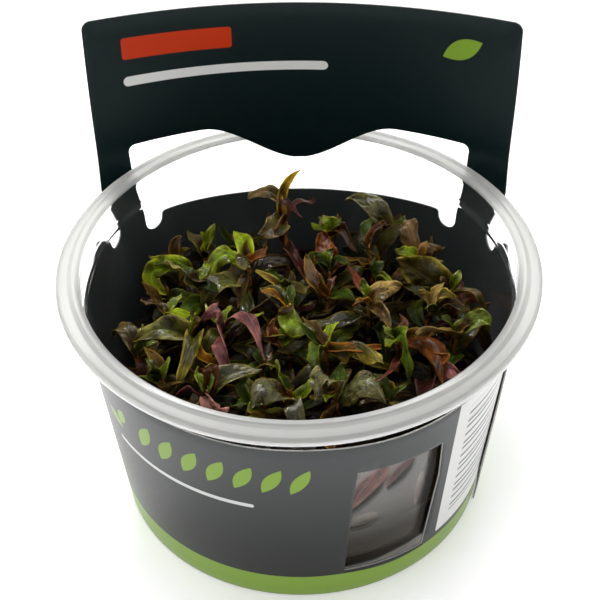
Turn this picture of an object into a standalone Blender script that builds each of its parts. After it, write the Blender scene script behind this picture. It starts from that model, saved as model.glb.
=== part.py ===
# Rotala plantlets on culture gel, in a clear round cup with a die-cut card sleeve and header.
# The cup stands on the XY plane with its axis on Z, and the header card rises at +Y.
import math
import random

import bmesh
import bpy
from mathutils import Vector
from mathutils.bvhtree import BVHTree

MM = 0.001  # every size below is in millimetres

# Cup: a thin clear shell, wider at the mouth, with a lid seat and a flanged rim
CUP_STEPS = 48
FOOT_RADIUS = 39.19
WALL_FLARE = 0.1145  # outer radius gained per millimetre of height
WALL = 0.7
FLOOR_TOP = 2.0
LID_SEAT = 52.3
MOUTH_RADIUS = 45.4
RIM_RADIUS = 50.5
RIM_TOP = 60.0
FLANGE_TOP = 59.2
SKIRT_LOW = 57.3

# Gel: a set disc on the cup's floor
GEL_TOP = 18.3
GEL_STEPS = 36
MENISCUS = 0.7

CLEARANCE = 0.35  # left between neighbouring pieces

# Card: one die-cut strip, wrapped once round the cup and glued to itself
CARD = 0.4
CARD_LOW = 0.4
SLEEVE_TOP = 50.1
SLEEVE_TILT = -0.9
SLEEVE_DIP = 1.0  # the top edge is lower by this much beside the side window
HEADER_TOP = 94.0
HEADER_HALF = 47.7
HEADER_CORNER = 2.0
HEADER_BEND_LOW = 78.0  # radius of the header's bend at the rim
HEADER_BEND_HIGH = 130.0  # and at its top edge
HEADER_LEAN = 0.04
FLATTENS_FROM = 14.0  # the back starts to turn from round to flat at this height
FLATTEST_TURN = 30.0  # degrees either side of the back that follow the header's bend
ROUND_TURN = 86.0  # and where the sleeve is round again
WINDOW_LOW = 44.2
WINDOW_SAG = 0.8  # the window's low edge drops by this much at its ends
WINDOW_SHIFT = -1.1  # the window's middle, from the header's
WINDOW_HIGH = 63.6
WINDOW_CORNER = 1.6
TONGUE_HALF = 22.0
TONGUE_LOW = 54.1
TONGUE_PLANE = 43.9
LEG_INNER_LOW = 38.0
LEG_INNER_HIGH = 39.3
RELIEF_RADIUS = 2.35
RELIEF_LOW = 40.1
SLOT_RADIUS = 2.6
SLOT_LOW = 43.6
FLAP_END = 79.0
TAIL_END = -204.0
FLAP_NOTCH = 4.2
FLAP_NOTCH_HEIGHT = 5.2
FLAP_LIFT = 0.8  # the flap lies this far outside the tail glued under it
FLAP_LIFT_FROM = 74.0  # degrees from the back
PEEP = ((-147.7, 8.4), (-149.3, 42.2), (-168.5, 41.0), (-169.3, 30.0), (-167.8, 7.1))  # side window
BACK_HALF = 48.0  # the back's half width, kept true to length at every height
FLAT_REFERENCE = 137.0  # half of the sleeve's girth at mid height
BEND_PITCH = 6.0
BACK_ROWS = (14.0, 24.0, 33.0, 39.0)  # heights where the back's bend is cut into facets
BACK_ROWS_REACH = 82.0
HEADER_ROWS = (WINDOW_LOW, 52.0, SKIRT_LOW, 63.5, 72.0, 82.0)

# Shoots: square stems with leaves in crossed pairs
SEED = 41
SHOOT_FOOT = GEL_TOP + CLEARANCE
STEM_HALF = 0.75
STEM_TIP_HALF = 0.45
LEAF_BASE = 1.5
LEAF_THICK = 0.5
LEAF_BELLY = 0.45
NODE_DROPS = (1.8, 6.6, 12.0, 18.0)  # leaf pairs, below the crown
PAIR_LENGTHS = (8.0, 11.5, 13.0, 11.0)
PAIR_CLIMBS = (0.75, 0.45, 0.3, 0.2)  # radians above level
WALL_ROOM = 0.7
GEL_ROOM = 0.9
FILLER_COUNT = 16
FILLER_SPACING = 7.7
BED_RADIUS = 34.0
TRIES = 14

# Leading shoots, by the place of their crown; each leaf is a tip point, a width and an arch
LEADERS = (
    {"foot": (-3, 22), "crown": (-4.5, 27.0, 56.0), "leaves": (
        ((-0.5, 29.5, 61.0), 3.2, 1.0), ((-12.2, 28.6, 54.5), 4.0, 1.0),
        ((-9.5, 20.5, 51.5), 5.0, 0.5), ((-14.0, 17.7, 49.0), 5.0, 1.0))},
    {"foot": (-26, 14), "crown": (-27.6, 17.0, 45.5), "leaves": (
        ((-33.5, 17.2, 47.0), 5.0, 2.0), ((-29.5, 9.8, 42.0), 5.0, 3.0),
        ((-36.5, 19.0, 42.5), 4.5, 1.0), ((-34.5, 10.5, 37.0), 4.5, 1.0))},
    {"foot": (-11, 10), "crown": (-11.5, 13.0, 49.0), "leaves": (
        ((-20.4, 7.6, 49.0), 5.0, 2.0), ((-15.0, 20.5, 51.0), 4.0, 1.0),
        ((-21.5, 2.5, 46.0), 6.0, 1.5))},
    {"foot": (-15, -4), "crown": (-15.5, -8.0, 49.5), "leaves": (
        ((-20.0, -10.5, 53.0), 4.5, 1.0), ((-6.5, -19.5, 50.0), 5.0, 3.5),
        ((-13.5, -20.5, 47.5), 6.0, 2.0))},
    {"foot": (-16, -24), "crown": (-17.8, -27.0, 49.0), "leaves": (
        ((-7.0, -22.5, 51.5), 5.0, 1.5), ((-13.0, -33.0, 50.0), 5.0, 1.5))},
    {"foot": (-2, -3), "crown": (-2.5, -1.5, 49.0), "leaves": (
        ((5.5, -11.5, 51.5), 5.5, 1.5), ((-8.5, 3.5, 51.0), 4.5, 1.0))},
    {"foot": (6, -11), "crown": (6.0, -13.8, 49.5), "leaves": (
        ((17.5, -19.5, 50.0), 6.0, 1.5), ((4.0, -21.0, 50.5), 5.0, 1.5))},
    {"foot": (15, 1), "crown": (14.6, -1.5, 50.5), "leaves": (
        ((18.4, -11.5, 50.5), 5.0, 1.5), ((21.5, 2.5, 50.5), 4.5, 1.0))},
    {"foot": (21, -10), "crown": (20.5, -12.0, 49.5), "leaves": (
        ((29.5, -23.8, 49.5), 6.5, 2.0), ((22.5, -23.0, 52.0), 4.0, 1.5),
        ((14.0, -27.0, 50.0), 3.5, 1.0))},
    {"foot": (32, 7), "crown": (32.5, 7.5, 46.0), "leaves": (
        ((20.5, 12.5, 50.0), 8.5, 1.5), ((40.5, 1.5, 47.0), 3.5, 1.5),
        ((34.0, 11.0, 51.0), 3.5, 0.5), ((40.0, 10.0, 48.5), 3.5, 1.0))},
    {"foot": (25, 18), "crown": (26.0, 18.0, 46.0), "leaves": (
        ((22.0, 24.5, 50.5), 6.0, 1.0), ((31.5, 24.5, 49.5), 5.0, 1.0))},
    {"foot": (17, 26), "crown": (19.0, 28.0, 46.5), "leaves": (
        ((9.8, 34.0, 50.0), 5.0, 1.5), ((24.0, 31.0, 47.0), 4.0, 1.0))},
    {"foot": (9, -26), "crown": (8.0, -28.0, 49.0), "leaves": (
        ((4.0, -31.5, 53.0), 6.0, 0.8), ((18.0, -31.5, 51.0), 6.5, 2.0))},
    {"foot": (-1, -26), "crown": (-0.5, -27.5, 47.5), "leaves": (
        ((-8.5, -33.0, 51.0), 6.5, 1.5), ((1.5, -36.5, 50.5), 5.0, 1.5))},
    {"foot": (-21, -8), "crown": (-22.5, -8.5, 47.0), "leaves": (
        ((-34.2, -8.5, 46.0), 6.0, 2.0), ((-24.5, -23.5, 47.0), 5.0, 2.0))},
    {"foot": (-32, -9), "crown": (-34.0, -10.0, 42.5), "leaves": (
        ((-40.5, -3.5, 44.5), 4.5, 1.0), ((-33.5, -20.0, 44.0), 5.0, 1.5))},
    {"foot": (32, -6), "crown": (33.5, -5.5, 45.5), "leaves": (
        ((40.5, -6.0, 47.0), 5.0, 1.5), ((26.0, -12.5, 49.5), 4.0, 1.0))},
    {"foot": (27, -19), "crown": (28.5, -20.0, 46.5), "leaves": (
        ((35.0, -19.5, 49.5), 4.5, 1.0), ((25.5, -29.0, 48.0), 5.0, 1.5))},
    {"foot": (6, 13), "crown": (6.2, 14.0, 46.0), "leaves": (
        ((4.4, 21.5, 50.0), 6.0, 0.5), ((-1.0, 18.0, 49.5), 4.5, 1.0),
        ((14.0, 14.0, 49.5), 4.0, 1.0))},
    {"foot": (6, 25), "crown": (6.0, 26.5, 46.5), "leaves": (
        ((3.5, 29.0, 51.5), 4.0, 0.5), ((8.5, 33.5, 47.5), 4.5, 1.0))},
)

COLOURS = {
    "clear_cup": ((0.93, 0.95, 0.95, 0.25), 0.08),
    "culture_gel": ((0.42, 0.36, 0.25, 0.6), 0.15),
    "header_card": ((0.015, 0.018, 0.018, 1.0), 0.35),
    "green leaf": ((0.06, 0.14, 0.015, 1.0), 0.3),
    "olive leaf": ((0.07, 0.08, 0.02, 1.0), 0.3),
    "red leaf": ((0.13, 0.035, 0.02, 1.0), 0.3),
}


def material(name):
    found = bpy.data.materials.get(name)
    if found:
        return found
    colour, roughness = COLOURS[name]
    made = bpy.data.materials.new(name)
    made.use_nodes = True
    made.diffuse_color = colour
    shader = made.node_tree.nodes["Principled BSDF"]
    shader.inputs["Base Color"].default_value = colour[:3] + (1.0,)
    shader.inputs["Roughness"].default_value = roughness
    shader.inputs["Metallic"].default_value = 0.0
    shader.inputs["Alpha"].default_value = colour[3]
    return made


def new_object(name, mesh, collection, look):
    made = bpy.data.objects.new(name, mesh)
    made.data.materials.append(material(look))
    collection.objects.link(made)
    return made


def smooth(value):
    value = max(0.0, min(1.0, value))
    return value * value * (3.0 - 2.0 * value)


def wall_radius(z):
    return FOOT_RADIUS + WALL_FLARE * z


# Turned pieces

def turned(name, profile, steps, collection, look):
    mesh = bpy.data.meshes.new(name)
    points = [(r * MM, 0.0, z * MM) for r, z in profile]
    mesh.from_pydata(points, [(i, i + 1) for i in range(len(points) - 1)], [])
    made = new_object(name, mesh, collection, look)
    screw = made.modifiers.new("turn", "SCREW")
    screw.steps = steps
    screw.render_steps = steps
    screw.use_merge_vertices = True
    screw.merge_threshold = 0.00001
    screw.use_smooth_shade = True
    weld = made.modifiers.new("poles", "WELD")
    weld.merge_threshold = 0.00001
    return made


def cup(collection):
    inner_low = wall_radius(3.6) - WALL - 0.45
    inner_seat = wall_radius(LID_SEAT) - WALL
    flange = FLANGE_TOP
    profile = [
        (0.0, FLOOR_TOP), (36.4, FLOOR_TOP), (inner_low, 3.6), (inner_seat, LID_SEAT),
        (MOUTH_RADIUS, LID_SEAT + 1.0), (MOUTH_RADIUS + 0.1, RIM_TOP - 0.5),
        (MOUTH_RADIUS + 0.5, RIM_TOP), (MOUTH_RADIUS + 2.0, RIM_TOP),
        (MOUTH_RADIUS + 2.4, flange + 0.1), (RIM_RADIUS - 0.7, flange),
        (RIM_RADIUS, flange - 0.7), (RIM_RADIUS, SKIRT_LOW), (RIM_RADIUS - 0.6, SKIRT_LOW),
        (RIM_RADIUS - 0.8, flange - 0.8), (MOUTH_RADIUS + 1.0, flange - 0.7),
        (MOUTH_RADIUS + 0.8, flange - 1.3), (MOUTH_RADIUS + WALL, LID_SEAT + 0.9),
        (wall_radius(LID_SEAT - 0.2), LID_SEAT - 0.2), (wall_radius(1.0), 1.0),
        (FOOT_RADIUS - 0.3, 0.0), (37.0, 0.0), (36.6, 1.2), (0.0, 1.2),
    ]
    return turned("clear_cup", profile, CUP_STEPS, collection, "clear_cup")


def gel(collection):
    side = wall_radius(GEL_TOP) - WALL - 0.4
    low_side = wall_radius(4.0) - WALL - 0.85
    profile = [
        (0.0, GEL_TOP), (side - 2.5, GEL_TOP), (side - 0.1, GEL_TOP + MENISCUS),
        (low_side, 4.0), (36.1, FLOOR_TOP + CLEARANCE), (0.0, FLOOR_TOP + CLEARANCE),
    ]
    return turned("culture_gel", profile, GEL_STEPS, collection, "culture_gel")


# Card: its flat outline, then its wrap

def arc(centre, radius, start, end, count=5):
    angles = [math.radians(start + (end - start) * i / count) for i in range(count + 1)]
    return [(centre[0] + radius * math.cos(a), centre[1] + radius * math.sin(a)) for a in angles]


def sleeve_top(u):
    past = -u - FLAT_REFERENCE
    dip = SLEEVE_DIP * smooth(past / 26.0) * (1.0 - smooth((past - 35.0) / 25.0))
    return SLEEVE_TOP + SLEEVE_TILT * math.cos(math.pi * u / FLAT_REFERENCE) - dip


def tongue_edge(u):
    return TONGUE_LOW + (WINDOW_HIGH - TONGUE_LOW) * smooth(abs(u) / TONGUE_HALF)


def card_outline():
    low = CARD_LOW
    slot = HEADER_HALF + SLOT_RADIUS
    slot_z = SLOT_LOW + SLOT_RADIUS
    notch = (FLAP_END, FLAP_NOTCH_HEIGHT)
    corner = HEADER_HALF - HEADER_CORNER
    outline = [(TAIL_END, low), (FLAP_END, low)]
    outline += arc(notch, FLAP_NOTCH, 270, 90, 6)
    outline += [(u, sleeve_top(u)) for u in (FLAP_END, 70.0, 60.0, slot + SLOT_RADIUS)]
    outline += arc((slot, slot_z), SLOT_RADIUS, 0, -180)
    outline += arc((corner, HEADER_TOP - HEADER_CORNER), HEADER_CORNER, 0, 90, 4)
    outline += arc((-corner, HEADER_TOP - HEADER_CORNER), HEADER_CORNER, 90, 180, 4)
    outline += arc((-slot, slot_z), SLOT_RADIUS, 0, -180)
    step = (TAIL_END + slot + SLOT_RADIUS) / 12
    outline += [(u, sleeve_top(u)) for u in (-slot - SLOT_RADIUS + step * i for i in range(13))]
    return outline


def window_low(u):
    return WINDOW_LOW - WINDOW_SAG * (u / LEG_INNER_LOW) ** 2


def header_window():
    relief = LEG_INNER_LOW - RELIEF_RADIUS
    relief_z = RELIEF_LOW + RELIEF_RADIUS
    lip = relief - RELIEF_RADIUS
    corner = (LEG_INNER_HIGH - WINDOW_CORNER, WINDOW_HIGH - WINDOW_CORNER)
    low = window_low(lip)
    half = [(u, window_low(u)) for u in (8.0, 16.0, 24.0, lip - 0.8)]
    half += [(lip - 0.2, low - 0.25), (lip, low - 0.7)]
    half += arc((relief, relief_z), RELIEF_RADIUS, 180, 360, 6)
    half += arc(corner, WINDOW_CORNER, 0, 90, 3)
    half += [(u, tongue_edge(u)) for u in (TONGUE_HALF, 19.0, 15.5, 12.0, 8.5, 5.5, 2.5)]
    mirrored = [(-u, v) for u, v in reversed(half)]
    return [(u + WINDOW_SHIFT, v) for u, v in half + mirrored]


def side_window():
    return list(PEEP)


def flat_card():
    curve = bpy.data.curves.new("card outline", "CURVE")
    curve.dimensions = "2D"
    curve.fill_mode = "BOTH"
    curve.extrude = CARD / 2
    for points in (card_outline(), header_window(), side_window()):
        spline = curve.splines.new("POLY")
        spline.points.add(len(points) - 1)
        spline.use_cyclic_u = True
        for target, (u, v) in zip(spline.points, points):
            target.co = (u, v, 0.0, 1.0)
    holder = bpy.data.objects.new("card outline", curve)
    bpy.context.scene.collection.objects.link(holder)
    seen = holder.evaluated_get(bpy.context.evaluated_depsgraph_get())
    mesh = bpy.data.meshes.new_from_object(seen)
    bpy.data.objects.remove(holder)
    return mesh


def cut_lines(bm, positions, axis, reach):
    for position in positions:
        faces = [f for f in bm.faces if abs(f.calc_center_median().x) <= reach or axis == 0]
        edges = {e for f in faces for e in f.edges}
        verts = {v for f in faces for v in f.verts}
        place = (position, 0, 0) if axis == 0 else (0, position, 0)
        normal = (1, 0, 0) if axis == 0 else (0, 1, 0)
        bmesh.ops.bisect_plane(bm, geom=list(verts) + list(edges) + faces, dist=1e-5,
                               plane_co=place, plane_no=normal)


def header_plane(z):
    low = wall_radius(min(z, WINDOW_LOW)) + CLEARANCE + CARD / 2
    inward = smooth((z - WINDOW_LOW) / (TONGUE_LOW - WINDOW_LOW))
    return low + (TONGUE_PLANE - low) * inward + HEADER_LEAN * max(0.0, z - TONGUE_LOW)


def card_radius(turn, z):
    """Distance of the card's middle layer from the cup's axis, at an angle from the back."""
    circle = wall_radius(min(z, SLEEVE_TOP)) + CLEARANCE + CARD / 2
    folded = abs((turn + math.pi) % (2 * math.pi) - math.pi)
    bend = HEADER_BEND_LOW + (HEADER_BEND_HIGH - HEADER_BEND_LOW) * smooth(
        (z - RIM_TOP) / (HEADER_TOP - RIM_TOP))
    plane = header_plane(z)
    square = math.sin(folded) ** 2 / bend
    if folded < 0.01:
        flat = plane
    else:
        flat = (-math.cos(folded) + math.sqrt(math.cos(folded) ** 2 + 2 * plane * square)) / square
    free = smooth((z - WINDOW_LOW) / (SKIRT_LOW - WINDOW_LOW))
    start = math.radians(FLATTEST_TURN * (1 + free))
    share = max(0.0, min(1.0, (folded - start) / (math.radians(ROUND_TURN) - start)))
    raised = smooth((z - FLATTENS_FROM) / (WINDOW_LOW - FLATTENS_FROM))
    hold = raised * (1.0 - share * share) ** 3.5
    lift = FLAP_LIFT * smooth((math.degrees(turn) - FLAP_LIFT_FROM) / 18.0)
    return circle + (flat - circle) * hold + lift


sections = {}


def section(z):
    """Points round the card at one height, with the length along it from the back's middle."""
    key = round(z, 3)
    if key not in sections:
        turns = [math.radians(a) for a in range(-276, 112, 2)]
        points = [Vector((card_radius(t, z) * math.sin(t), card_radius(t, z) * math.cos(t), z))
                  for t in turns]
        lengths = [0.0]
        for before, after in zip(points, points[1:]):
            lengths.append(lengths[-1] + (after - before).length)
        middle = lengths[turns.index(0.0)]
        front = middle - lengths[turns.index(math.radians(-180))]
        sections[key] = ([length - middle for length in lengths], points, front)
    return sections[key]


def wrap(u, v, w):
    """Carry a point of the flat strip to its place round the cup."""
    lengths, points, front = section(v)
    side, past = BACK_HALF, abs(u) - FLAT_REFERENCE
    if abs(u) <= side:
        along = u
    elif past < 0:
        stretch = (front - side) / (FLAT_REFERENCE - side)
        along = math.copysign(side + (abs(u) - side) * stretch, u)
    else:
        circle = wall_radius(v) + CLEARANCE + CARD / 2
        along = math.copysign(front + past * circle * math.pi / FLAT_REFERENCE, u)
    index = 0
    while index < len(lengths) - 2 and lengths[index + 1] < along:
        index += 1
    before, after = points[index], points[index + 1]
    share = (along - lengths[index]) / (lengths[index + 1] - lengths[index])
    run = (after - before).normalized()
    outward = Vector((-run.y, run.x, 0.0))
    return (before + (after - before) * share + outward * w) * MM


def card(collection):
    mesh = flat_card()
    bm = bmesh.new()
    bm.from_mesh(mesh)
    bmesh.ops.remove_doubles(bm, verts=bm.verts, dist=1e-4)
    bmesh.ops.dissolve_limit(bm, angle_limit=0.01, verts=bm.verts, edges=bm.edges)
    columns = [BEND_PITCH * i for i in range(int(TAIL_END / BEND_PITCH), int(FLAP_END / BEND_PITCH) + 1)]
    cut_lines(bm, columns, 0, 0)
    cut_lines(bm, BACK_ROWS, 1, BACK_ROWS_REACH)
    cut_lines(bm, HEADER_ROWS, 1, HEADER_HALF)
    bmesh.ops.triangulate(bm, faces=bm.faces)
    for vert in bm.verts:
        vert.co = wrap(*vert.co)
    bmesh.ops.recalc_face_normals(bm, faces=bm.faces)
    bm.to_mesh(mesh)
    bm.free()
    mesh.shade_smooth()
    mesh.set_sharp_from_angle(angle=math.radians(40))
    return new_object("header_card", mesh, collection, "header_card")


# Shoots

def stem_point(shoot, z):
    """Middle of the stem at a height: it rises from the foot and bows over to the crown."""
    foot, crown = Vector(shoot["foot"]), Vector(shoot["crown"][:2])
    share = (z - SHOOT_FOOT) / (shoot["crown"][2] - SHOOT_FOOT)
    place = foot.lerp(crown, share * share)
    return Vector((place.x, place.y, z))


def stem_ring(shoot, z):
    share = (z - SHOOT_FOOT) / (shoot["crown"][2] - SHOOT_FOOT)
    half = STEM_HALF + (STEM_TIP_HALF - STEM_HALF) * share
    middle = stem_point(shoot, z)
    turns = [shoot["yaw"] + math.radians(45 + 90 * j) for j in range(4)]
    reach = half * math.sqrt(2)
    return [middle + Vector((reach * math.cos(t), reach * math.sin(t), 0)) for t in turns]


def node_heights(shoot):
    return [shoot["crown"][2] - drop for drop in NODE_DROPS]


def leaf_sections(shoot, node, leaf, spare=0.0):
    """The broad middle section of a leaf and its tip; spare swells it for the room test."""
    tip, width, arch = Vector(leaf[0]), leaf[1], leaf[2]
    start = stem_point(shoot, node_heights(shoot)[node])
    run = tip - start
    side = Vector((-run.y, run.x, 0.0)).normalized()
    up = run.cross(side).normalized()
    if up.z < 0:
        up = -up
    roll = leaf[3]
    side, up = (side * math.cos(roll) + up * math.sin(roll),
                up * math.cos(roll) - side * math.sin(roll))
    middle = start + run * LEAF_BELLY + Vector((0, 0, arch))
    half, thick = width / 2 + spare, LEAF_THICK / 2 + spare
    belly = [middle + side * a * half + up * b * thick
             for a, b in ((1, -1), (-1, -1), (-1, 1), (1, 1))]
    return start, belly, tip + run.normalized() * spare


def blade_tree(shoot, node, leaf, spare, off_stem):
    """A closed blade, from a distance off the stem's middle to its tip."""
    start, belly, tip = leaf_sections(shoot, node, leaf, spare)
    middle = sum(belly, Vector()) / 4
    neck = start + (middle - start).normalized() * off_stem
    root_half = LEAF_BASE / 2 + spare
    root = [neck + (corner - middle).normalized() * root_half for corner in belly]
    if off_stem > STEM_HALF * 1.5:
        root = [neck + (corner - middle) * 0.3 for corner in belly]
    points = root + belly + [tip]
    faces = [(3, 2, 1, 0)]
    for k in range(4):
        nxt = (k + 1) % 4
        faces.append((k, nxt, 4 + nxt, 4 + k))
        faces.append((4 + k, 4 + nxt, 8))
    return BVHTree.FromPolygons(points, faces), points


def stem_tree(shoot):
    heights = (SHOOT_FOOT, *reversed(node_heights(shoot)), shoot["crown"][2])
    points = [p for z in heights for p in stem_ring(shoot, z)]
    faces = []
    for i in range(len(heights) - 1):
        for k in range(4):
            nxt = (k + 1) % 4
            faces.append((4 * i + k, 4 * i + nxt, 4 * i + 4 + nxt, 4 * i + 4 + k))
    return BVHTree.FromPolygons(points, faces), points


class Room:
    """Keeps what stands in the cup, and says whether a new piece is clear of it."""

    def __init__(self):
        self.kept = []

    def clear(self, tree, off_stem_tree, points, owner):
        middle = sum(points, Vector()) / len(points)
        reach = max((p - middle).length for p in points)
        for other in self.kept:
            own = other["owner"] == owner
            if own and other["stem"]:
                continue
            if (other["middle"] - middle).length > other["reach"] + reach:
                continue
            if (off_stem_tree if own else tree).overlap(other["tree"]):
                return False
        return True

    def keep(self, tree, points, owner, stem=False):
        middle = sum(points, Vector()) / len(points)
        reach = max((p - middle).length for p in points)
        self.kept.append({"tree": tree, "middle": middle, "reach": reach,
                          "owner": owner, "stem": stem})


def inside_cup(points):
    for p in points:
        limit = wall_radius(min(p.z, LID_SEAT)) - WALL - WALL_ROOM
        if math.hypot(p.x, p.y) > limit or p.z < GEL_TOP + GEL_ROOM:
            return False
    return True


def canopy_height(x, y, rng):
    """The carpet is high in the middle and at the front, and low beside the wall at the back."""
    edge = smooth((math.hypot(x, y) - 22.0) / 16.0)
    back_left = smooth((y - 0.5 * x - 8.0) / 18.0) * edge
    return 47.0 - 3.0 * edge - 5.0 * back_left + rng.uniform(-2.5, 2.0)


def plan_shoots(room):
    rng = random.Random(SEED)
    shoots = []
    for leader in LEADERS:
        shoot = dict(leader, yaw=rng.uniform(0, math.pi / 2))
        shoots.append(shoot)
    attempts = 0
    while len(shoots) < len(LEADERS) + FILLER_COUNT and attempts < 3000:
        attempts += 1
        reach, turn = BED_RADIUS * math.sqrt(rng.random()), rng.uniform(0, 2 * math.pi)
        x, y = reach * math.cos(turn), reach * math.sin(turn)
        near = min(min(math.dist((x, y), s["foot"]), math.dist((x, y), s["crown"][:2]))
                   for s in shoots)
        if near < FILLER_SPACING:
            continue
        height = canopy_height(x, y, rng)
        crown = (x + rng.uniform(-2, 2), y + rng.uniform(-2, 2), height)
        shoots.append({"foot": (x, y), "crown": crown, "leaves": (),
                       "yaw": rng.uniform(0, math.pi / 2)})
    for number, shoot in enumerate(shoots):
        shoot["number"] = number
        shoot["grown"] = {}
        tree, points = stem_tree(shoot)
        room.keep(tree, points, number, stem=True)
    return shoots


def free_faces(shoot, node):
    return [j for j in range(4) if (node, j) not in shoot["grown"]]


def face_direction(shoot, j):
    turn = shoot["yaw"] + math.radians(90 + 90 * j)
    return Vector((math.cos(turn), math.sin(turn), 0.0))


def try_leaf(room, shoot, node, face, leaf):
    tree, points = blade_tree(shoot, node, leaf, CLEARANCE, STEM_HALF)
    off_stem_tree, _ = blade_tree(shoot, node, leaf, CLEARANCE, STEM_HALF * 2)
    if not inside_cup(points) or not room.clear(tree, off_stem_tree, points, shoot["number"]):
        return False
    shoot["grown"][(node, face)] = leaf
    slim, slim_points = blade_tree(shoot, node, leaf, 0.0, STEM_HALF)
    room.keep(slim, slim_points, shoot["number"])
    return True


def grow_leaders(room, shoots):
    for shoot in shoots:
        for order, (tip, width, arch) in enumerate(shoot["leaves"]):
            rng = random.Random(SEED * 1000 + shoot["number"] * 40 + order)
            node = order // 2
            start = stem_point(shoot, node_heights(shoot)[node])
            run = Vector(tip) - start
            face = max(free_faces(shoot, node),
                       key=lambda j: face_direction(shoot, j).dot(run))
            for attempt in range(TRIES):
                shrink = 1.0 - 0.04 * attempt
                jitter = Vector([rng.uniform(-0.25, 0.25) * attempt for _ in range(3)])
                roll = rng.uniform(-0.5, 0.5)
                leaf = (start + run * shrink + jitter, width * shrink, arch, roll)
                if try_leaf(room, shoot, node, face, leaf):
                    break


def grow_pairs(room, shoots):
    for node in range(len(NODE_DROPS)):
        for shoot in shoots:
            if node_heights(shoot)[node] < GEL_TOP + 4.0:
                continue
            for face in ((node % 2), (node % 2) + 2):
                if (node, face) in shoot["grown"]:
                    continue
                grow_one(room, shoot, node, face)


def grow_one(room, shoot, node, face):
    rng = random.Random(SEED * 7000 + shoot["number"] * 40 + node * 4 + face)
    length = PAIR_LENGTHS[node] * rng.uniform(0.85, 1.2)
    start = stem_point(shoot, node_heights(shoot)[node])
    for attempt in range(TRIES):
        spread = 0.25 + 0.05 * attempt
        turn = rng.uniform(-spread, spread)
        lift = PAIR_CLIMBS[node] + rng.uniform(-0.35, 0.35)
        reach = length * (1.0 - 0.035 * attempt)
        facing = face_direction(shoot, face)
        out = Vector((facing.x * math.cos(turn) - facing.y * math.sin(turn),
                      facing.x * math.sin(turn) + facing.y * math.cos(turn), 0.0))
        run = (out * math.cos(lift) + Vector((0, 0, math.sin(lift)))) * reach
        width = reach * rng.uniform(0.34, 0.46)
        leaf = (start + run, width, rng.uniform(0.3, 0.16 * reach), rng.uniform(-0.6, 0.6))
        if try_leaf(room, shoot, node, face, leaf):
            return


def skin(bm, lower, upper):
    for k in range(4):
        nxt = (k + 1) % 4
        bm.faces.new((lower[k], lower[nxt], upper[nxt], upper[k]))


def close_to_point(bm, ring, point):
    top = bm.verts.new(point)
    for k in range(4):
        bm.faces.new((ring[k], ring[(k + 1) % 4], top))


def shoot_mesh(shoot):
    """One closed skin: a square stem whose side faces run out into its leaves."""
    bm = bmesh.new()
    heights = [(SHOOT_FOOT, None)]
    for node in reversed(range(len(NODE_DROPS))):
        middle = node_heights(shoot)[node]
        heights += [(middle - LEAF_BASE / 2, node), (middle + LEAF_BASE / 2, None)]
    rings = [[bm.verts.new(p * MM) for p in stem_ring(shoot, z)] for z, _ in heights]
    bm.faces.new(list(reversed(rings[0])))
    for (_, node), lower, upper in zip(heights, rings, rings[1:]):
        for face in range(4):
            nxt = (face + 1) % 4
            quad = (lower[face], lower[nxt], upper[nxt], upper[face])
            leaf = shoot["grown"].get((node, face))
            if leaf is None:
                bm.faces.new(quad)
                continue
            _, belly, tip = leaf_sections(shoot, node, leaf)
            ring = [bm.verts.new(p * MM) for p in match_corners(quad, belly)]
            skin(bm, quad, ring)
            close_to_point(bm, ring, tip * MM)
    close_to_point(bm, rings[-1], stem_point(shoot, shoot["crown"][2]) * MM)
    bmesh.ops.triangulate(bm, faces=bm.faces)
    bmesh.ops.recalc_face_normals(bm, faces=bm.faces)
    mesh = bpy.data.meshes.new("shoot")
    bm.to_mesh(mesh)
    bm.free()
    return mesh


def match_corners(quad, belly):
    """Order the leaf's section so that its lower left corner follows the stem face's own."""
    middle = sum(belly, Vector()) / 4
    left = (quad[0].co - quad[1].co).normalized()
    ordered = list(belly)
    if (belly[0] - belly[1]).dot(left) < 0:
        ordered = [belly[1], belly[0], belly[3], belly[2]]
    if sum(p.z for p in ordered[:2]) / 2 > middle.z:
        ordered = [ordered[3], ordered[2], ordered[1], ordered[0]]
    return ordered


def plants(collection):
    room = Room()
    shoots = plan_shoots(room)
    grow_leaders(room, shoots)
    grow_pairs(room, shoots)
    for shoot in shoots:
        look = ("green leaf", "olive leaf", "red leaf")[shoot["number"] % 3]
        new_object(f"shoot_{shoot['number'] + 1:02d}", shoot_mesh(shoot), collection, look)


def build():
    for old in list(bpy.data.objects):
        bpy.data.objects.remove(old)
    collection = bpy.data.collections.new("rotala_cup")
    bpy.context.scene.collection.children.link(collection)
    cup(collection)
    gel(collection)
    card(collection)
    plants(collection)


build()
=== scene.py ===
# Rotala plantlets in a clear culture cup with a die-cut card sleeve, seen from above the front.
import math
import random

import bmesh
import bpy
from mathutils import Matrix, Vector
from mathutils.bvhtree import BVHTree


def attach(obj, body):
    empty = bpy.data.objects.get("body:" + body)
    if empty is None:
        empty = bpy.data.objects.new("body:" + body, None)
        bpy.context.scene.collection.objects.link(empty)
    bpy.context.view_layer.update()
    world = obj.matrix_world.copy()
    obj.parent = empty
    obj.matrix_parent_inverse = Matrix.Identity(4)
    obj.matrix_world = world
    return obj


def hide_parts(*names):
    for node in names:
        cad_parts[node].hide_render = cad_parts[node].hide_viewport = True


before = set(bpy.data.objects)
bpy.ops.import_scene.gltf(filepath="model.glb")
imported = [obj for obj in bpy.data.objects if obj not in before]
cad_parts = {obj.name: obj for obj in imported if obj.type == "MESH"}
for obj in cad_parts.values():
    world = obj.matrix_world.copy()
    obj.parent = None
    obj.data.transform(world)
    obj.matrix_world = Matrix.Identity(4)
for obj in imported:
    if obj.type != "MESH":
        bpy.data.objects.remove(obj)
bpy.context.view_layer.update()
mm = 0.001  # sizes below are in millimetres


# Camera, light and floor

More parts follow.
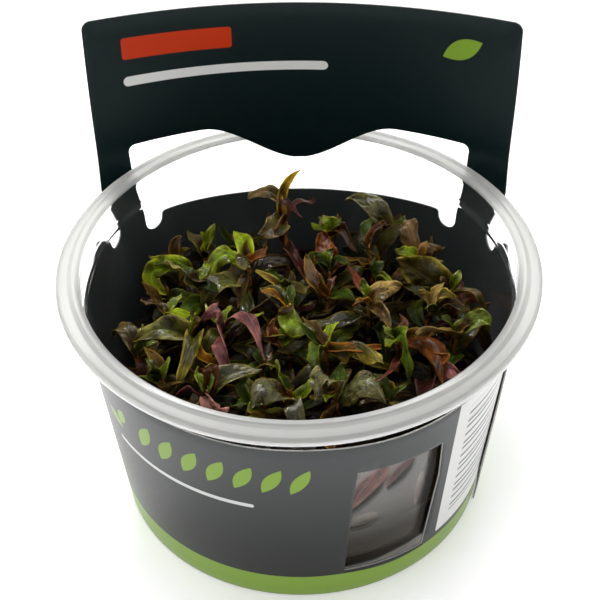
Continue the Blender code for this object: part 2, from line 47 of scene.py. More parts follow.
viewPoint = {
    "distance": 350.0,
    "elevation": 41.66,
    "turn": 2.3,  # degrees to the right of straight ahead
    "lookHeight": 49.0,
    "roll": -1.09,
    "lens": 99.1,
    "sensor": 36.0,
    "shift": 0.001,
}

studio = {
    "worldStrength": 0.55,
    "keySize": (800.0, 700.0),
    "keyPlace": (-60.0, 120.0, 700.0),
    "keyPower": 6.0,
    "glintSize": (80.0, 70.0),
    "glintPlace": (-140.0, 260.0, 520.0),
    "glintPower": 1.1,
    "aimHeight": 40.0,
    "floorSize": 3000.0,
    "floorColour": (0.93, 0.93, 0.925),
    "floorGlow": 0.27,
}


def makeCamera():
    up = math.radians(viewPoint["elevation"])
    turn = math.radians(viewPoint["turn"])
    roll = math.radians(viewPoint["roll"])
    reach = viewPoint["distance"] * mm
    target = Vector((0.0, 0.0, viewPoint["lookHeight"] * mm))
    place = target + reach * Vector((math.cos(up) * math.sin(turn),
                                     -math.cos(up) * math.cos(turn), math.sin(up)))
    ahead = (target - place).normalized()
    right = ahead.cross(Vector((0.0, 0.0, 1.0))).normalized()
    above = right.cross(ahead)
    right, above = (right * math.cos(roll) + above * math.sin(roll),
                    above * math.cos(roll) - right * math.sin(roll))
    camera = bpy.data.objects.new("camera", bpy.data.cameras.new("camera"))
    bpy.context.scene.collection.objects.link(camera)
    matrix = Matrix((right, above, -ahead)).transposed().to_4x4()
    matrix.translation = place
    camera.matrix_world = matrix
    camera.data.lens = viewPoint["lens"]
    camera.data.sensor_width = viewPoint["sensor"]
    camera.data.shift_x = viewPoint["shift"]
    camera.data.clip_start = 0.01
    bpy.context.scene.camera = camera


def areaLight(name, size, place, power):
    light = bpy.data.lights.new(name, "AREA")
    light.shape = "RECTANGLE"
    light.size = size[0] * mm
    light.size_y = size[1] * mm
    light.energy = power
    lamp = bpy.data.objects.new(name, light)
    bpy.context.scene.collection.objects.link(lamp)
    lamp.location = Vector(place) * mm
    aim = Vector((0.0, 0.0, studio["aimHeight"])) * mm - lamp.location
    lamp.rotation_euler = aim.to_track_quat("-Z", "Y").to_euler()


def makeStudio():
    bpy.context.scene.view_settings.view_transform = "Standard"
    world = bpy.data.worlds.new("studio")
    world.use_nodes = True
    sky = world.node_tree.nodes["Background"]
    sky.inputs["Color"].default_value = (1.0, 1.0, 1.0, 1.0)
    sky.inputs["Strength"].default_value = studio["worldStrength"]
    bpy.context.scene.world = world
    areaLight("key", studio["keySize"], studio["keyPlace"], studio["keyPower"])
    areaLight("glint", studio["glintSize"], studio["glintPlace"], studio["glintPower"])
    bm = bmesh.new()
    bmesh.ops.create_grid(bm, x_segments=4, y_segments=4, size=studio["floorSize"] * mm / 2)
    floor = pieceFrom(bm, "floor")
    look = newLook("floor paint", studio["floorColour"], 0.6)
    shade = noiseValue(look, 6.0, 3.0)
    tint = mixColours(look, scaled(look, shade, 0.04), studio["floorColour"], (0.8, 0.8, 0.8))
    feed(look, "Base Color", tint)
    shaderOf(look).inputs["Emission Color"].default_value = (1.0, 1.0, 1.0, 1.0)
    setShader(look, glow=studio["floorGlow"])
    floor.data.materials.append(look)


# Small helpers for meshes and materials

def pieceFrom(bm, name):
    mesh = bpy.data.meshes.new(name)
    bm.to_mesh(mesh)
    bm.free()
    mesh.shade_smooth()
    piece = bpy.data.objects.new(name, mesh)
    bpy.context.scene.collection.objects.link(piece)
    return piece


def ease(value):
    value = max(0.0, min(1.0, value))
    return value * value * (3.0 - 2.0 * value)


def shaderOf(look):
    return look.node_tree.nodes["Principled BSDF"]


def newLook(name, colour, roughness):
    look = bpy.data.materials.new(name)
    look.use_nodes = True
    look.diffuse_color = (*colour, 1.0)
    shaderOf(look).inputs["Base Color"].default_value = (*colour, 1.0)
    shaderOf(look).inputs["Roughness"].default_value = roughness
    return look


def setShader(look, **values):
    names = {"coat": "Coat Weight", "coatRoughness": "Coat Roughness", "ior": "IOR",
             "clearness": "Transmission Weight", "inner": "Subsurface Weight",
             "innerScale": "Subsurface Scale", "shine": "Specular IOR Level",
             "glow": "Emission Strength"}
    for key, value in values.items():
        shaderOf(look).inputs[names[key]].default_value = value


def feed(look, socket, source):
    look.node_tree.links.new(source, shaderOf(look).inputs[socket])


def addNode(look, kind, inputs=(), **settings):
    node = look.node_tree.nodes.new(kind)
    for key, value in settings.items():
        setattr(node, key, value)
    for key, value in dict(inputs).items():
        if isinstance(value, bpy.types.NodeSocket):
            look.node_tree.links.new(value, node.inputs[key])
        else:
            node.inputs[key].default_value = value
    return node


def calc(look, operation, *values):
    return addNode(look, "ShaderNodeMath", dict(enumerate(values)), operation=operation).outputs[0]


def product(look, first, *others):
    for value in others:
        first = calc(look, "MULTIPLY", first, value)
    return first


def scaled(look, value, factor, offset=0.0):
    return calc(look, "MULTIPLY_ADD", value, factor, offset)


def fade(look, value, low, high):
    node = addNode(look, "ShaderNodeMapRange",
                   {"Value": value, "From Min": low, "From Max": high}, interpolation_type="SMOOTHSTEP")
    return node.outputs["Result"]


def objectPoint(look):
    return addNode(look, "ShaderNodeTexCoord").outputs["Object"]


def axesOf(look, point):
    return addNode(look, "ShaderNodeSeparateXYZ", {"Vector": point}).outputs


def sheetAxes(look, layer):
    return axesOf(look, addNode(look, "ShaderNodeUVMap", uv_map=layer).outputs["UV"])


def noiseValue(look, scale, detail, stretch=(1.0, 1.0, 1.0), roughness=0.5):
    place = addNode(look, "ShaderNodeMapping",
                    {"Vector": objectPoint(look), "Scale": stretch}).outputs["Vector"]
    node = addNode(look, "ShaderNodeTexNoise",
                   {"Vector": place, "Scale": scale, "Detail": detail, "Roughness": roughness})
    return node.outputs["Fac"]


def colourSocket(colour):
    return (*colour, 1.0) if isinstance(colour, tuple) else colour


def mixColours(look, share, first, second, blend="MIX"):
    node = addNode(look, "ShaderNodeMix", data_type="RGBA", blend_type=blend)
    for index, value in ((0, share), (6, colourSocket(first)), (7, colourSocket(second))):
        if isinstance(value, bpy.types.NodeSocket):
            look.node_tree.links.new(value, node.inputs[index])
        else:
            node.inputs[index].default_value = value
    return node.outputs[2]


def dyed(look, colour, dye):
    return mixColours(look, 1.0, colour, dye, "MULTIPLY")


def bump(look, height, strength, distance):
    node = addNode(look, "ShaderNodeBump",
                   {"Height": height, "Strength": strength, "Distance": distance})
    feed(look, "Normal", node.outputs["Normal"])


# Cup: a turned shell of clear plastic with a lid seat, a flange and its skirt

cupSizes = {
    "footRadius": 39.19,
    "flare": 0.1145,  # radius gained per millimetre of height
    "wall": 0.7,
    "floorTop": 2.0,
    "lidSeat": 52.3,
    "mouth": 45.4,
    "rim": 50.5,
    "rimTop": 60.0,
    "flange": 59.2,
    "skirtLow": 57.3,
    "turns": 192,
    "rounding": 0.26,
    "hazeHeight": 59.3,  # the rim above this, and outside this radius, is moulded less clear
    "hazeRadius": 46.35,
    "calm": (6.0, 54.0),  # the wall behind the side window mirrors little: degrees from the front
    "calmTop": 48.3,
    "film": (8.0, 37.7, 43.0),  # a film inside the wall there: from and to in degrees, and its top
    "filmRise": (12.0, 36.0),  # it thickens between these heights
    "filmHaze": 0.15,
    "arc": 0.745,  # millimetres round the wall for one degree
}


def wallRadius(z):
    return cupSizes["footRadius"] + cupSizes["flare"] * z


def innerRadius(z):
    return wallRadius(min(z, cupSizes["lidSeat"])) - cupSizes["wall"]


def turnedPiece(name, profile, steps, rounding=0.0):
    bm = bmesh.new()
    verts = [bm.verts.new((r * mm, 0.0, z * mm)) for r, z in profile]
    for first, second in zip(verts, verts[1:]):
        bm.edges.new((first, second))
    if rounding:
        corners = [v for v in verts if v.co.x > 1e-6]
        bmesh.ops.bevel(bm, geom=corners, offset=rounding * mm, segments=4, profile=0.5,
                        affect="VERTICES", offset_type="OFFSET", material=-1, clamp_overlap=True)
    bmesh.ops.spin(bm, geom=bm.verts[:] + bm.edges[:], cent=(0, 0, 0), axis=(0, 0, 1),
                   angle=2 * math.pi, steps=steps, use_merge=True)
    bmesh.ops.remove_doubles(bm, verts=bm.verts, dist=1e-6)
    bmesh.ops.recalc_face_normals(bm, faces=bm.faces)
    return pieceFrom(bm, name)


def makeCup():
    size = cupSizes
    wall, mouth, rim, flange, top, seat, skirt = (
        size[k] for k in ("wall", "mouth", "rim", "flange", "rimTop", "lidSeat", "skirtLow"))
    # radius and height, from the floor's middle over the inside, the rim and the outside and back
    profile = [
        (0.0, size["floorTop"]), (36.4, size["floorTop"]), (innerRadius(3.6) - 0.45, 3.6),
        (innerRadius(seat), seat),
        (mouth, seat + 1.0), (mouth + 0.1, top - 0.6), (mouth + 0.7, top), (mouth + 1.7, top - 0.05),
        (mouth + 2.6, flange + 0.1), (mouth + 3.6, flange + 0.05), (rim - 0.7, flange - 0.1),
        (rim - 0.1, flange - 0.7), (rim, skirt + 0.9), (rim, skirt), (rim - 0.6, skirt),
        (rim - 0.8, flange - 0.9),
        (mouth + 1.0, flange - 0.7), (mouth + 0.8, flange - 1.3), (mouth + wall, seat + 0.9),
        (wallRadius(seat - 0.2), seat - 0.2), (wallRadius(1.0), 1.0),
        (size["footRadius"] - 0.3, 0.0), (37.0, 0.0), (36.6, 1.2), (0.0, 1.2),
    ]
    cup = turnedPiece("clearCup", profile, size["turns"], size["rounding"])
    for look in (clearPlastic(), hazedPlastic(), calmPlastic(), edgePlastic()):
        cup.data.materials.append(look)
    for face in cup.data.polygons:
        x, y, z = face.center / mm
        reach, turn = math.hypot(x, y), math.degrees(math.atan2(x, -y))
        if z < skirt + 0.95 and reach > rim - 0.75:
            face.material_index = 3
        elif z > size["hazeHeight"] or (z > seat and reach > size["hazeRadius"]):
            face.material_index = 1
        elif z < size["calmTop"] and size["calm"][0] < turn < size["calm"][1]:
            face.material_index = 2
    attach(cup, "root")
    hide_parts("clear_cup")
    print("cup done:", len(cup.data.polygons), "faces")


def clearPlastic():
    look = newLook("clear plastic", (0.97, 0.975, 0.97), 0.05)
    setShader(look, ior=1.2)
    damp = fade(look, noiseValue(look, 55.0, 4.0, (1.0, 1.0, 0.55), 0.6), 0.48, 0.72)
    feed(look, "Transmission Weight", scaled(look, damp, -0.035, 0.984))
    bump(look, noiseValue(look, 60.0, 1.0, (1.0, 1.0, 0.35)), 0.12, 0.0004)
    feed(look, "Roughness", scaled(look, noiseValue(look, 60.0, 2.0), 0.03, 0.02))
    return look


def calmPlastic():
    look = newLook("calm plastic", (0.97, 0.96, 0.93), 0.04)
    setShader(look, clearness=1.0, ior=1.08, shine=0.12)
    start, end, top = cupSizes["film"]
    thin, thick = cupSizes["filmRise"]
    axes = axesOf(look, objectPoint(look))
    turn = calc(look, "ARCTAN2", axes["X"], scaled(look, axes["Y"], -1.0))
    turn = scaled(look, turn, 180.0 / math.pi)
    film = product(look, fade(look, turn, start, start + 4.0), fade(look, turn, end + 0.4, end),
                   fade(look, axes["Z"], (top + 3.0) * mm, top * mm),
                   fade(look, axes["Z"], thin * mm, thick * mm),
                   fade(look, noiseValue(look, 25.0, 1.0), -0.5, 0.9))
    arc, height = cupSizes["arc"], scaled(look, axes["Z"], 1.0 / mm)
    along = scaled(look, turn, arc)
    for _, root, _, tip, width, _, _ in pressed:
        first, last = Vector((root[0] * arc, root[1])), Vector((tip[0] * arc, tip[1]))
        run = last - first
        sign = leafSign(look, along, height, (first + last) / 2, run.length, width * 0.9,
                        math.degrees(math.atan2(run.y, run.x)), 0.3)
        film = product(look, film, scaled(look, sign, -0.8, 1.0))
    feed(look, "Transmission Weight", scaled(look, film, -cupSizes["filmHaze"], 1.0))
    return look


def hazedPlastic():
    look = newLook("hazed plastic", (0.615, 0.615, 0.595), 0.3)
    setShader(look, clearness=0.66, ior=1.3, coat=0.1, coatRoughness=0.25)
    bump(look, noiseValue(look, 25.0, 2.0, (1.0, 1.0, 3.0)), 0.12, 0.0004)
    haze = noiseValue(look, 28.0, 3.0, (1.0, 1.0, 8.0))
    feed(look, "Roughness", scaled(look, haze, 0.14, 0.32))
    return look


def edgePlastic():
    # the low edge of the rim's skirt, whiter and less clear than the rest, which shows as a bright band
    look = newLook("edge plastic", (0.93, 0.93, 0.92), 0.2)
    setShader(look, clearness=0.45, ior=1.4, coat=0.5, coatRoughness=0.08)
    feed(look, "Roughness", scaled(look, noiseValue(look, 40.0, 2.0), 0.1, 0.18))
    return look


# Gel: a set disc, level but for its edge where it climbs the wall

gelSizes = {
    "top": 18.3,
    "climb": 0.7,
    "ripple": 0.08,
    "turns": 96,
    "clearance": 0.35,
    "shadedBelow": (6.0, 14.0),  # painted shade: the gel is darker below these heights
    "dark": (0.002, 0.0015, 0.001),
    "light": (0.032, 0.023, 0.013),
    "cloud": (0.03, 0.02, 0.01),
}


def makeGel():
    top, climb = gelSizes["top"], gelSizes["climb"]
    side = innerRadius(top) - 0.4
    floor = cupSizes["floorTop"] + gelSizes["clearance"]
    profile = [(side * share, top + gelSizes["ripple"] * math.sin(share * 19.0))
               for share in (0.0, 0.2, 0.4, 0.6, 0.8)]
    profile += [(side - 2.5, top), (side - 1.0, top + climb * 0.3), (side - 0.1, top + climb),
                (innerRadius(4.0) - 0.85, 4.0), (36.1, floor), (0.0, floor)]
    gel = turnedPiece("cultureGel", profile, gelSizes["turns"])
    look = newLook("culture gel", (0.10, 0.07, 0.04), 0.12)
    setShader(look, clearness=0.2, ior=1.35, shine=0.2)
    cloud = noiseValue(look, 55.0, 4.0)
    height = axesOf(look, objectPoint(look))["Z"]
    # painted shade: darker toward the bottom of the gel
    low, high = gelSizes["shadedBelow"]
    uneven = calc(look, "ADD", height, scaled(look, fade(look, cloud, 0.0, 1.0), 3.0 * mm))
    tone = mixColours(look, fade(look, uneven, low * mm, high * mm), gelSizes["dark"], gelSizes["light"])
    feed(look, "Base Color", mixColours(look, fade(look, cloud, 0.35, 0.7), tone, gelSizes["cloud"]))
    bump(look, noiseValue(look, 240.0, 2.0), 0.15, 0.0003)
    gel.data.materials.append(look)
    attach(gel, "root")
    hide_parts("culture_gel")
    print("gel done")


# Card: one flat die-cut strip, printed, then wrapped round the cup

cardSizes = {
    "thick": 0.4,
    "low": 0.4,
    "sleeveTop": 50.1,
    "sleeveTilt": -0.9,
    "sleeveDip": 1.0,
    "headerTop": 94.0,
    "headerHalf": 47.7,
    "headerCorner": 2.0,
    "bendLow": 78.0,
    "bendHigh": 130.0,
    "lean": 0.04,
    "flattensFrom": 14.0,
    "flattestTurn": 30.0,
    "roundTurn": 86.0,
    "windowLow": 44.2,
    "windowSag": 0.8,
    "windowShift": -1.1,
    "windowHigh": 63.6,
    "windowCorner": 1.6,
    "tongueHalf": 22.0,
    "tongueLow": 54.1,
    "tonguePlane": 43.9,
    "legLow": 38.0,
    "legHigh": 39.3,
    "relief": 2.35,
    "reliefLow": 40.1,
    "slot": 2.6,
    "slotLow": 43.6,
    "slotCorner": (2.8, 5.0),  # the sleeve's corner beside the slot: cut down by, over this length
    "flapEnd": 79.0,
    "tailEnd": -204.0,
    "notch": 4.2,
    "notchHeight": 5.2,
    "flapLift": 0.8,
    "flapLiftFrom": 74.0,
    "peep": ((-147.7, 8.4), (-149.3, 42.2), (-168.5, 41.0), (-169.3, 30.0), (-167.8, 7.1)),
    "backHalf": 48.0,
    "halfGirth": 137.0,
    "pitch": 2.0,
    "rowPitch": 3.0,
    "unit": 0.01,  # one millimetre of the strip, in its UV layer
}

printing = {
    "board": (0.0040, 0.0047, 0.0053),
    "inside": (0.0026, 0.0090, 0.0092),
    "green": (0.200, 0.335, 0.028),
    "band": (0.3, 7.3, 1.1),  # low, high, and how much less high it is beside the side window
    "tag": (-39.6, -15.5, 83.6, 88.7),
    "tagColour": (0.520, 0.033, 0.003),
    "titleBar": (-39.8, 5.5, 77.4, 79.6),
    "titleColour": (0.72, 0.72, 0.70),
    "panel": (-210.0, -172.0, 7.9, 60.0),
    "panelColour": (0.71, 0.71, 0.70),
    "bars": (-193.0, -175.8, 12.3, 46.5),
    "lines": (2.3, 1.37),  # the pitches that the panel's lines are made of
    "lineColour": (0.16, 0.16, 0.16),
    "leafRow": (-140.8, -103.2, 35.0, 47.0),
    "leafPitch": 5.37,
    "rowLeaf": (40.9, 8.6, 2.9, 116.0),  # height, length, width, lean
    "endLeaves": (((-98.6, 40.6), 5.4, 2.6, 115.0), ((-95.4, 38.0), 5.4, 2.6, 35.0)),
    "headerLeaf": ((35.0, 85.6), 9.6, 4.6, 28.0),
    "rule": (-129.0, -94.5, 31.4, 32.5),
    "ruleColour": (0.62, 0.62, 0.61),
    # painted reflection: the colour that lightens the label toward its top
    "paintedSheen": (0.060, 0.064, 0.066),
    "soft": 0.08,  # how far a printed edge fades
}


def arc(centre, radius, start, end, count=8):
    angles = [math.radians(start + (end - start) * i / count) for i in range(count + 1)]
    return [(centre[0] + radius * math.cos(a), centre[1] + radius * math.sin(a)) for a in angles]


def sleeveTop(u):
    s = cardSizes
    past = -u - s["halfGirth"]
    dip = s["sleeveDip"] * ease(past / 26.0) * (1.0 - ease((past - 35.0) / 25.0))
    return s["sleeveTop"] + s["sleeveTilt"] * math.cos(math.pi * u / s["halfGirth"]) - dip


def tongueEdge(u):
    low, high = cardSizes["tongueLow"], cardSizes["windowHigh"]
    return low + (high - low) * ease(abs(u) / cardSizes["tongueHalf"])


def sleeveEdge(side, places, edge):
    # the top edge from the slot on, its corner cut down
    drop, length = cardSizes["slotCorner"]
    return [(side * u, sleeveTop(side * u) - drop * (1.0 - ease((u - edge) / length))) for u in places]


def cardOutline():
    s = cardSizes
    slotU, slotZ = s["headerHalf"] + s["slot"], s["slotLow"] + s["slot"]
    corner = s["headerHalf"] - s["headerCorner"]
    cornerZ = s["headerTop"] - s["headerCorner"]
    edge = slotU + s["slot"]
    outline = [(s["tailEnd"], s["low"]), (s["flapEnd"], s["low"])]
    outline += arc((s["flapEnd"], s["notchHeight"]), s["notch"], 270, 90, 14)
    outline += sleeveEdge(1, (s["flapEnd"], 74.0, 68.0, 62.0, 58.0, 56.4, 55.2, 54.0, edge), edge)
    outline += arc((slotU, slotZ), s["slot"], 0, -180, 10)
    outline += arc((corner, cornerZ), s["headerCorner"], 0, 90)
    outline += arc((-corner, cornerZ), s["headerCorner"], 90, 180)
    outline += arc((-slotU, slotZ), s["slot"], 0, -180, 10)
    tail = -s["tailEnd"] - 58.0
    tailPlaces = [58.0 + tail * i / 29 for i in range(30)]
    return outline + sleeveEdge(-1, (edge, 54.0, 55.2, 56.4, *tailPlaces), edge)


def windowLow(u):
    return cardSizes["windowLow"] - cardSizes["windowSag"] * (u / cardSizes["legLow"]) ** 2


def headerWindow():
    s = cardSizes
    relief, reliefZ = s["legLow"] - s["relief"], s["reliefLow"] + s["relief"]
    lip = relief - s["relief"]
    corner = (s["legHigh"] - s["windowCorner"], s["windowHigh"] - s["windowCorner"])
    low = windowLow(lip)
    half = [(u, windowLow(u)) for u in (*range(4, 29, 4), lip - 0.8)]
    half += [(lip - 0.2, low - 0.25), (lip, low - 0.7)]
    half += arc((relief, reliefZ), s["relief"], 180, 360, 12)
    half += arc(corner, s["windowCorner"], 0, 90, 6)
    half += [(u, tongueEdge(u)) for u in (s["tongueHalf"] - 1.375 * i for i in range(16))]
    whole = half + [(-u, v) for u, v in reversed(half)]
    return [(u + s["windowShift"], v) for u, v in whole]


def headerPlane(z):
    s = cardSizes
    low = wallRadius(min(z, s["windowLow"])) + gelSizes["clearance"] + s["thick"] / 2
    inward = ease((z - s["windowLow"]) / (s["tongueLow"] - s["windowLow"]))
    return low + (s["tonguePlane"] - low) * inward + s["lean"] * max(0.0, z - s["tongueLow"])


def cardRadius(turn, z):
    # distance of the card's middle layer from the cup's axis, at an angle from the back
    s = cardSizes
    circle = wallRadius(min(z, s["sleeveTop"])) + gelSizes["clearance"] + s["thick"] / 2
    folded = abs((turn + math.pi) % (2 * math.pi) - math.pi)
    rise = ease((z - cupSizes["rimTop"]) / (s["headerTop"] - cupSizes["rimTop"]))
    bend = s["bendLow"] + (s["bendHigh"] - s["bendLow"]) * rise
    plane = headerPlane(z)
    square = math.sin(folded) ** 2 / bend
    if folded < 0.01:
        flat = plane
    else:
        flat = (-math.cos(folded) + math.sqrt(math.cos(folded) ** 2 + 2 * plane * square)) / square
    free = ease((z - s["windowLow"]) / (cupSizes["skirtLow"] - s["windowLow"]))
    start = math.radians(s["flattestTurn"] * (1 + free))
    share = max(0.0, min(1.0, (folded - start) / (math.radians(s["roundTurn"]) - start)))
    raised = ease((z - s["flattensFrom"]) / (s["windowLow"] - s["flattensFrom"]))
    hold = raised * (1.0 - share * share) ** 3.5
    lift = s["flapLift"] * ease((math.degrees(turn) - s["flapLiftFrom"]) / 18.0)
    return circle + (flat - circle) * hold + lift


sectionStore = {}


def cardSection(z):
    # points round the card at one height, with the length along it from the back's middle
    key = round(z, 3)
    if key not in sectionStore:
        turns = [math.radians(a) for a in range(-276, 112, 2)]
        points = [Vector((cardRadius(t, z) * math.sin(t), cardRadius(t, z) * math.cos(t), z)) for t in turns]
        lengths = [0.0]
        for before, after in zip(points, points[1:]):
            lengths.append(lengths[-1] + (after - before).length)
        middle = lengths[turns.index(0.0)]
        front = middle - lengths[turns.index(math.radians(-180))]
        sectionStore[key] = ([length - middle for length in lengths], points, front)
    return sectionStore[key]


def wrapped(u, v):
    lengths, points, front = cardSection(v)
    s = cardSizes
    past = abs(u) - s["halfGirth"]
    if abs(u) <= s["backHalf"]:
        along = u
    elif past < 0:
        stretch = (front - s["backHalf"]) / (s["halfGirth"] - s["backHalf"])
        along = math.copysign(s["backHalf"] + (abs(u) - s["backHalf"]) * stretch, u)
    else:
        circle = wallRadius(v) + gelSizes["clearance"] + s["thick"] / 2
        along = math.copysign(front + past * circle * math.pi / s["halfGirth"], u)
    low, high = 0, len(lengths) - 2
    while low < high:
        middle = (low + high + 1) // 2
        if lengths[middle] < along:
            low = middle
        else:
            high = middle - 1
    share = (along - lengths[low]) / (lengths[low + 1] - lengths[low])
    return points[low].lerp(points[low + 1], share) * mm


def makeCard():
    s = cardSizes
    bm = bmesh.new()
    for loop in (cardOutline(), headerWindow(), s["peep"]):
        verts = [bm.verts.new((u, v, 0.0)) for u, v in loop]
        for first, second in zip(verts, verts[1:] + verts[:1]):
            bm.edges.new((first, second))
    bmesh.ops.remove_doubles(bm, verts=bm.verts, dist=1e-4)
    bmesh.ops.triangle_fill(bm, edges=bm.edges, use_beauty=True, use_dissolve=False, normal=(0, 0, 1))
    bmesh.ops.dissolve_limit(bm, angle_limit=0.01, verts=bm.verts, edges=bm.edges)
    columns = range(int(s["tailEnd"] / s["pitch"]), int(s["flapEnd"] / s["pitch"]) + 1)
    cuts = [((i * s["pitch"], 0, 0), (1, 0, 0)) for i in columns]
    cuts += [((0, i * s["rowPitch"], 0), (0, 1, 0)) for i in range(1, 31)]
    for place, normal in cuts:
        bmesh.ops.bisect_plane(bm, geom=bm.verts[:] + bm.edges[:] + bm.faces[:], dist=1e-5,
                               plane_co=place, plane_no=normal)
    for face in bm.faces:
        if face.normal.z > 0:
            face.normal_flip()
    strip = bm.loops.layers.uv.new("strip")
    for face in bm.faces:
        for loop in face.loops:
            loop[strip].uv = (loop.vert.co.x * s["unit"], loop.vert.co.y * s["unit"])
    for vert in bm.verts:
        vert.co = wrapped(vert.co.x, vert.co.y)
    card = pieceFrom(bm, "headerCard")
    shell = card.modifiers.new("board", "SOLIDIFY")
    shell.thickness = s["thick"] * mm
    shell.offset = 0.0
    shell.use_even_offset = True
    shell.material_offset_rim = 1
    shell.material_offset = 2
    card.modifiers.new("faces", "WEIGHTED_NORMAL").weight = 80
    for look in (labelBoard(), boardCore(), headerBoard()):
        card.data.materials.append(look)
    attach(card, "root")
    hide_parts("header_card")
    print("card done:", len(card.data.polygons), "faces")


def stripAxes(look):
    axes = sheetAxes(look, "strip")
    return [scaled(look, axes[name], 1.0 / cardSizes["unit"]) for name in ("X", "Y")]


def roundedBox(look, u, v, box, radius):
    gaps = []
    for place, low, high in ((u, box[0], box[1]), (v, box[2], box[3])):
        off = calc(look, "ABSOLUTE", scaled(look, place, 1.0, -(low + high) / 2))
        gaps.append(calc(look, "SUBTRACT", off, (high - low) / 2 - radius))
    squares = [product(look, over, over) for over in (calc(look, "MAXIMUM", gap, 0.0) for gap in gaps)]
    outside = calc(look, "SQRT", calc(look, "ADD", *squares))
    inside = calc(look, "MINIMUM", calc(look, "MAXIMUM", *gaps), 0.0)
    edge = calc(look, "ADD", outside, inside)
    return fade(look, edge, radius + printing["soft"], radius - printing["soft"])


def leafSign(look, u, v, centre, length, width, lean, soft=printing["soft"]):
    # a plain pointed leaf, its length turned by lean degrees
    du, dv = scaled(look, u, 1.0, -centre[0]), scaled(look, v, 1.0, -centre[1])
    c, s = math.cos(math.radians(lean)), math.sin(math.radians(lean))
    along = calc(look, "ADD", scaled(look, du, c), scaled(look, dv, s))
    across = calc(look, "SUBTRACT", scaled(look, dv, c), scaled(look, du, s))
    share = scaled(look, along, 2.0 / length)
    reach = scaled(look, product(look, share, share), -width / 2, width / 2)
    gap = calc(look, "SUBTRACT", reach, calc(look, "ABSOLUTE", across))
    return fade(look, gap, -soft, soft)


def boardLook(name, colour):
    look = newLook(name, colour, 0.3)
    fibre = noiseValue(look, 900.0, 2.0)
    feed(look, "Roughness", scaled(look, fibre, 0.08, 0.26))
    bump(look, noiseValue(look, 1400.0, 3.0), 0.12, 0.0001)
    return look, mixColours(look, fibre, colour, tuple(c * 1.5 for c in colour))


def printOnto(look, colour, prints):
    for share, ink in prints:
        colour = mixColours(look, share, colour, ink)
    feed(look, "Base Color", colour)


def labelBoard():
    # the sleeve's outside: a painted reflection that lightens it toward the top, a white panel with lines,
    # plain leaves, a rule and a green foot band
    look, colour = boardLook("label board", printing["board"])
    u, v = stripAxes(look)
    p = printing
    waves = [calc(look, "SINE", scaled(look, v, 2 * math.pi / pitch)) for pitch in p["lines"]]
    ruling = calc(look, "ADD", waves[0], scaled(look, waves[1], 0.7))
    step = calc(look, "FLOORED_MODULO", scaled(look, u, 1.0, 200.0), p["leafPitch"])
    rowHeight, *rowLeaf = p["rowLeaf"]
    low, high, dip = p["band"]
    bandV = calc(look, "ADD", v, scaled(look, fade(look, u, -145.0, -162.0), dip))
    prints = [
        # painted reflection: the label lighter toward its top
        (scaled(look, fade(look, v, 12.0, 52.0), 0.8), p["paintedSheen"]),
        (roundedBox(look, u, v, p["panel"], 0.5), p["panelColour"]),
        (product(look, fade(look, ruling, 0.1, 0.5), roundedBox(look, u, v, p["bars"], 0.1)),
         p["lineColour"]),
        (product(look, roundedBox(look, u, v, p["leafRow"], 0.1),
                 leafSign(look, step, v, (p["leafPitch"] / 2, rowHeight), *rowLeaf)), p["green"]),
        *((leafSign(look, u, v, *leaf), p["green"]) for leaf in p["endLeaves"]),
        (roundedBox(look, u, v, p["rule"], 0.5), p["ruleColour"]),
        (roundedBox(look, u, bandV, (-300.0, 300.0, low - 5.0, high), 0.05), p["green"]),
    ]
    printOnto(look, colour, prints)
    setShader(look, coat=0.05, coatRoughness=0.15, shine=0.24)
    return look


def headerBoard():
    # the card's inside, which faces forward on the header: a tag, a white bar and a plain leaf
    look, colour = boardLook("header board", printing["inside"])
    u, v = stripAxes(look)
    printOnto(look, colour, [
        (roundedBox(look, u, v, printing["tag"], 0.7), printing["tagColour"]),
        (roundedBox(look, u, v, printing["titleBar"], 1.1), printing["titleColour"]),
        (leafSign(look, u, v, *printing["headerLeaf"]), printing["green"]),
    ])
    setShader(look, shine=0.2)
    return look


def boardCore():
    look = newLook("board core", (0.50, 0.49, 0.47), 0.8)
    fibre = noiseValue(look, 1500.0, 3.0)
    feed(look, "Base Color", mixColours(look, fibre, (0.40, 0.39, 0.37), (0.62, 0.61, 0.58)))
    bump(look, noiseValue(look, 2500.0, 2.0), 0.3, 0.0001)
    return look


# Shoots: where each grows, and how far each leaf reaches

growth = {
    "seed": 41,
    "stemHalf": 0.75,
    "stemTipHalf": 0.45,
    "leafBase": 1.5,
    "leafThick": 0.5,
    "belly": 0.45,
    "nodeDrops": (1.8, 6.6, 12.0, 18.0),
    "pairLengths": (8.0, 11.5, 13.0, 11.0),
    "pairClimbs": (0.75, 0.45, 0.3, 0.2),
    "fillers": 16,
    "spacing": 7.7,
    "bed": 34.0,
    "tries": 14,
    "shrink": (0.04, 0.035),  # for each try: of a leading leaf, and of a leaf left to chance
    "attempts": 3000,
}

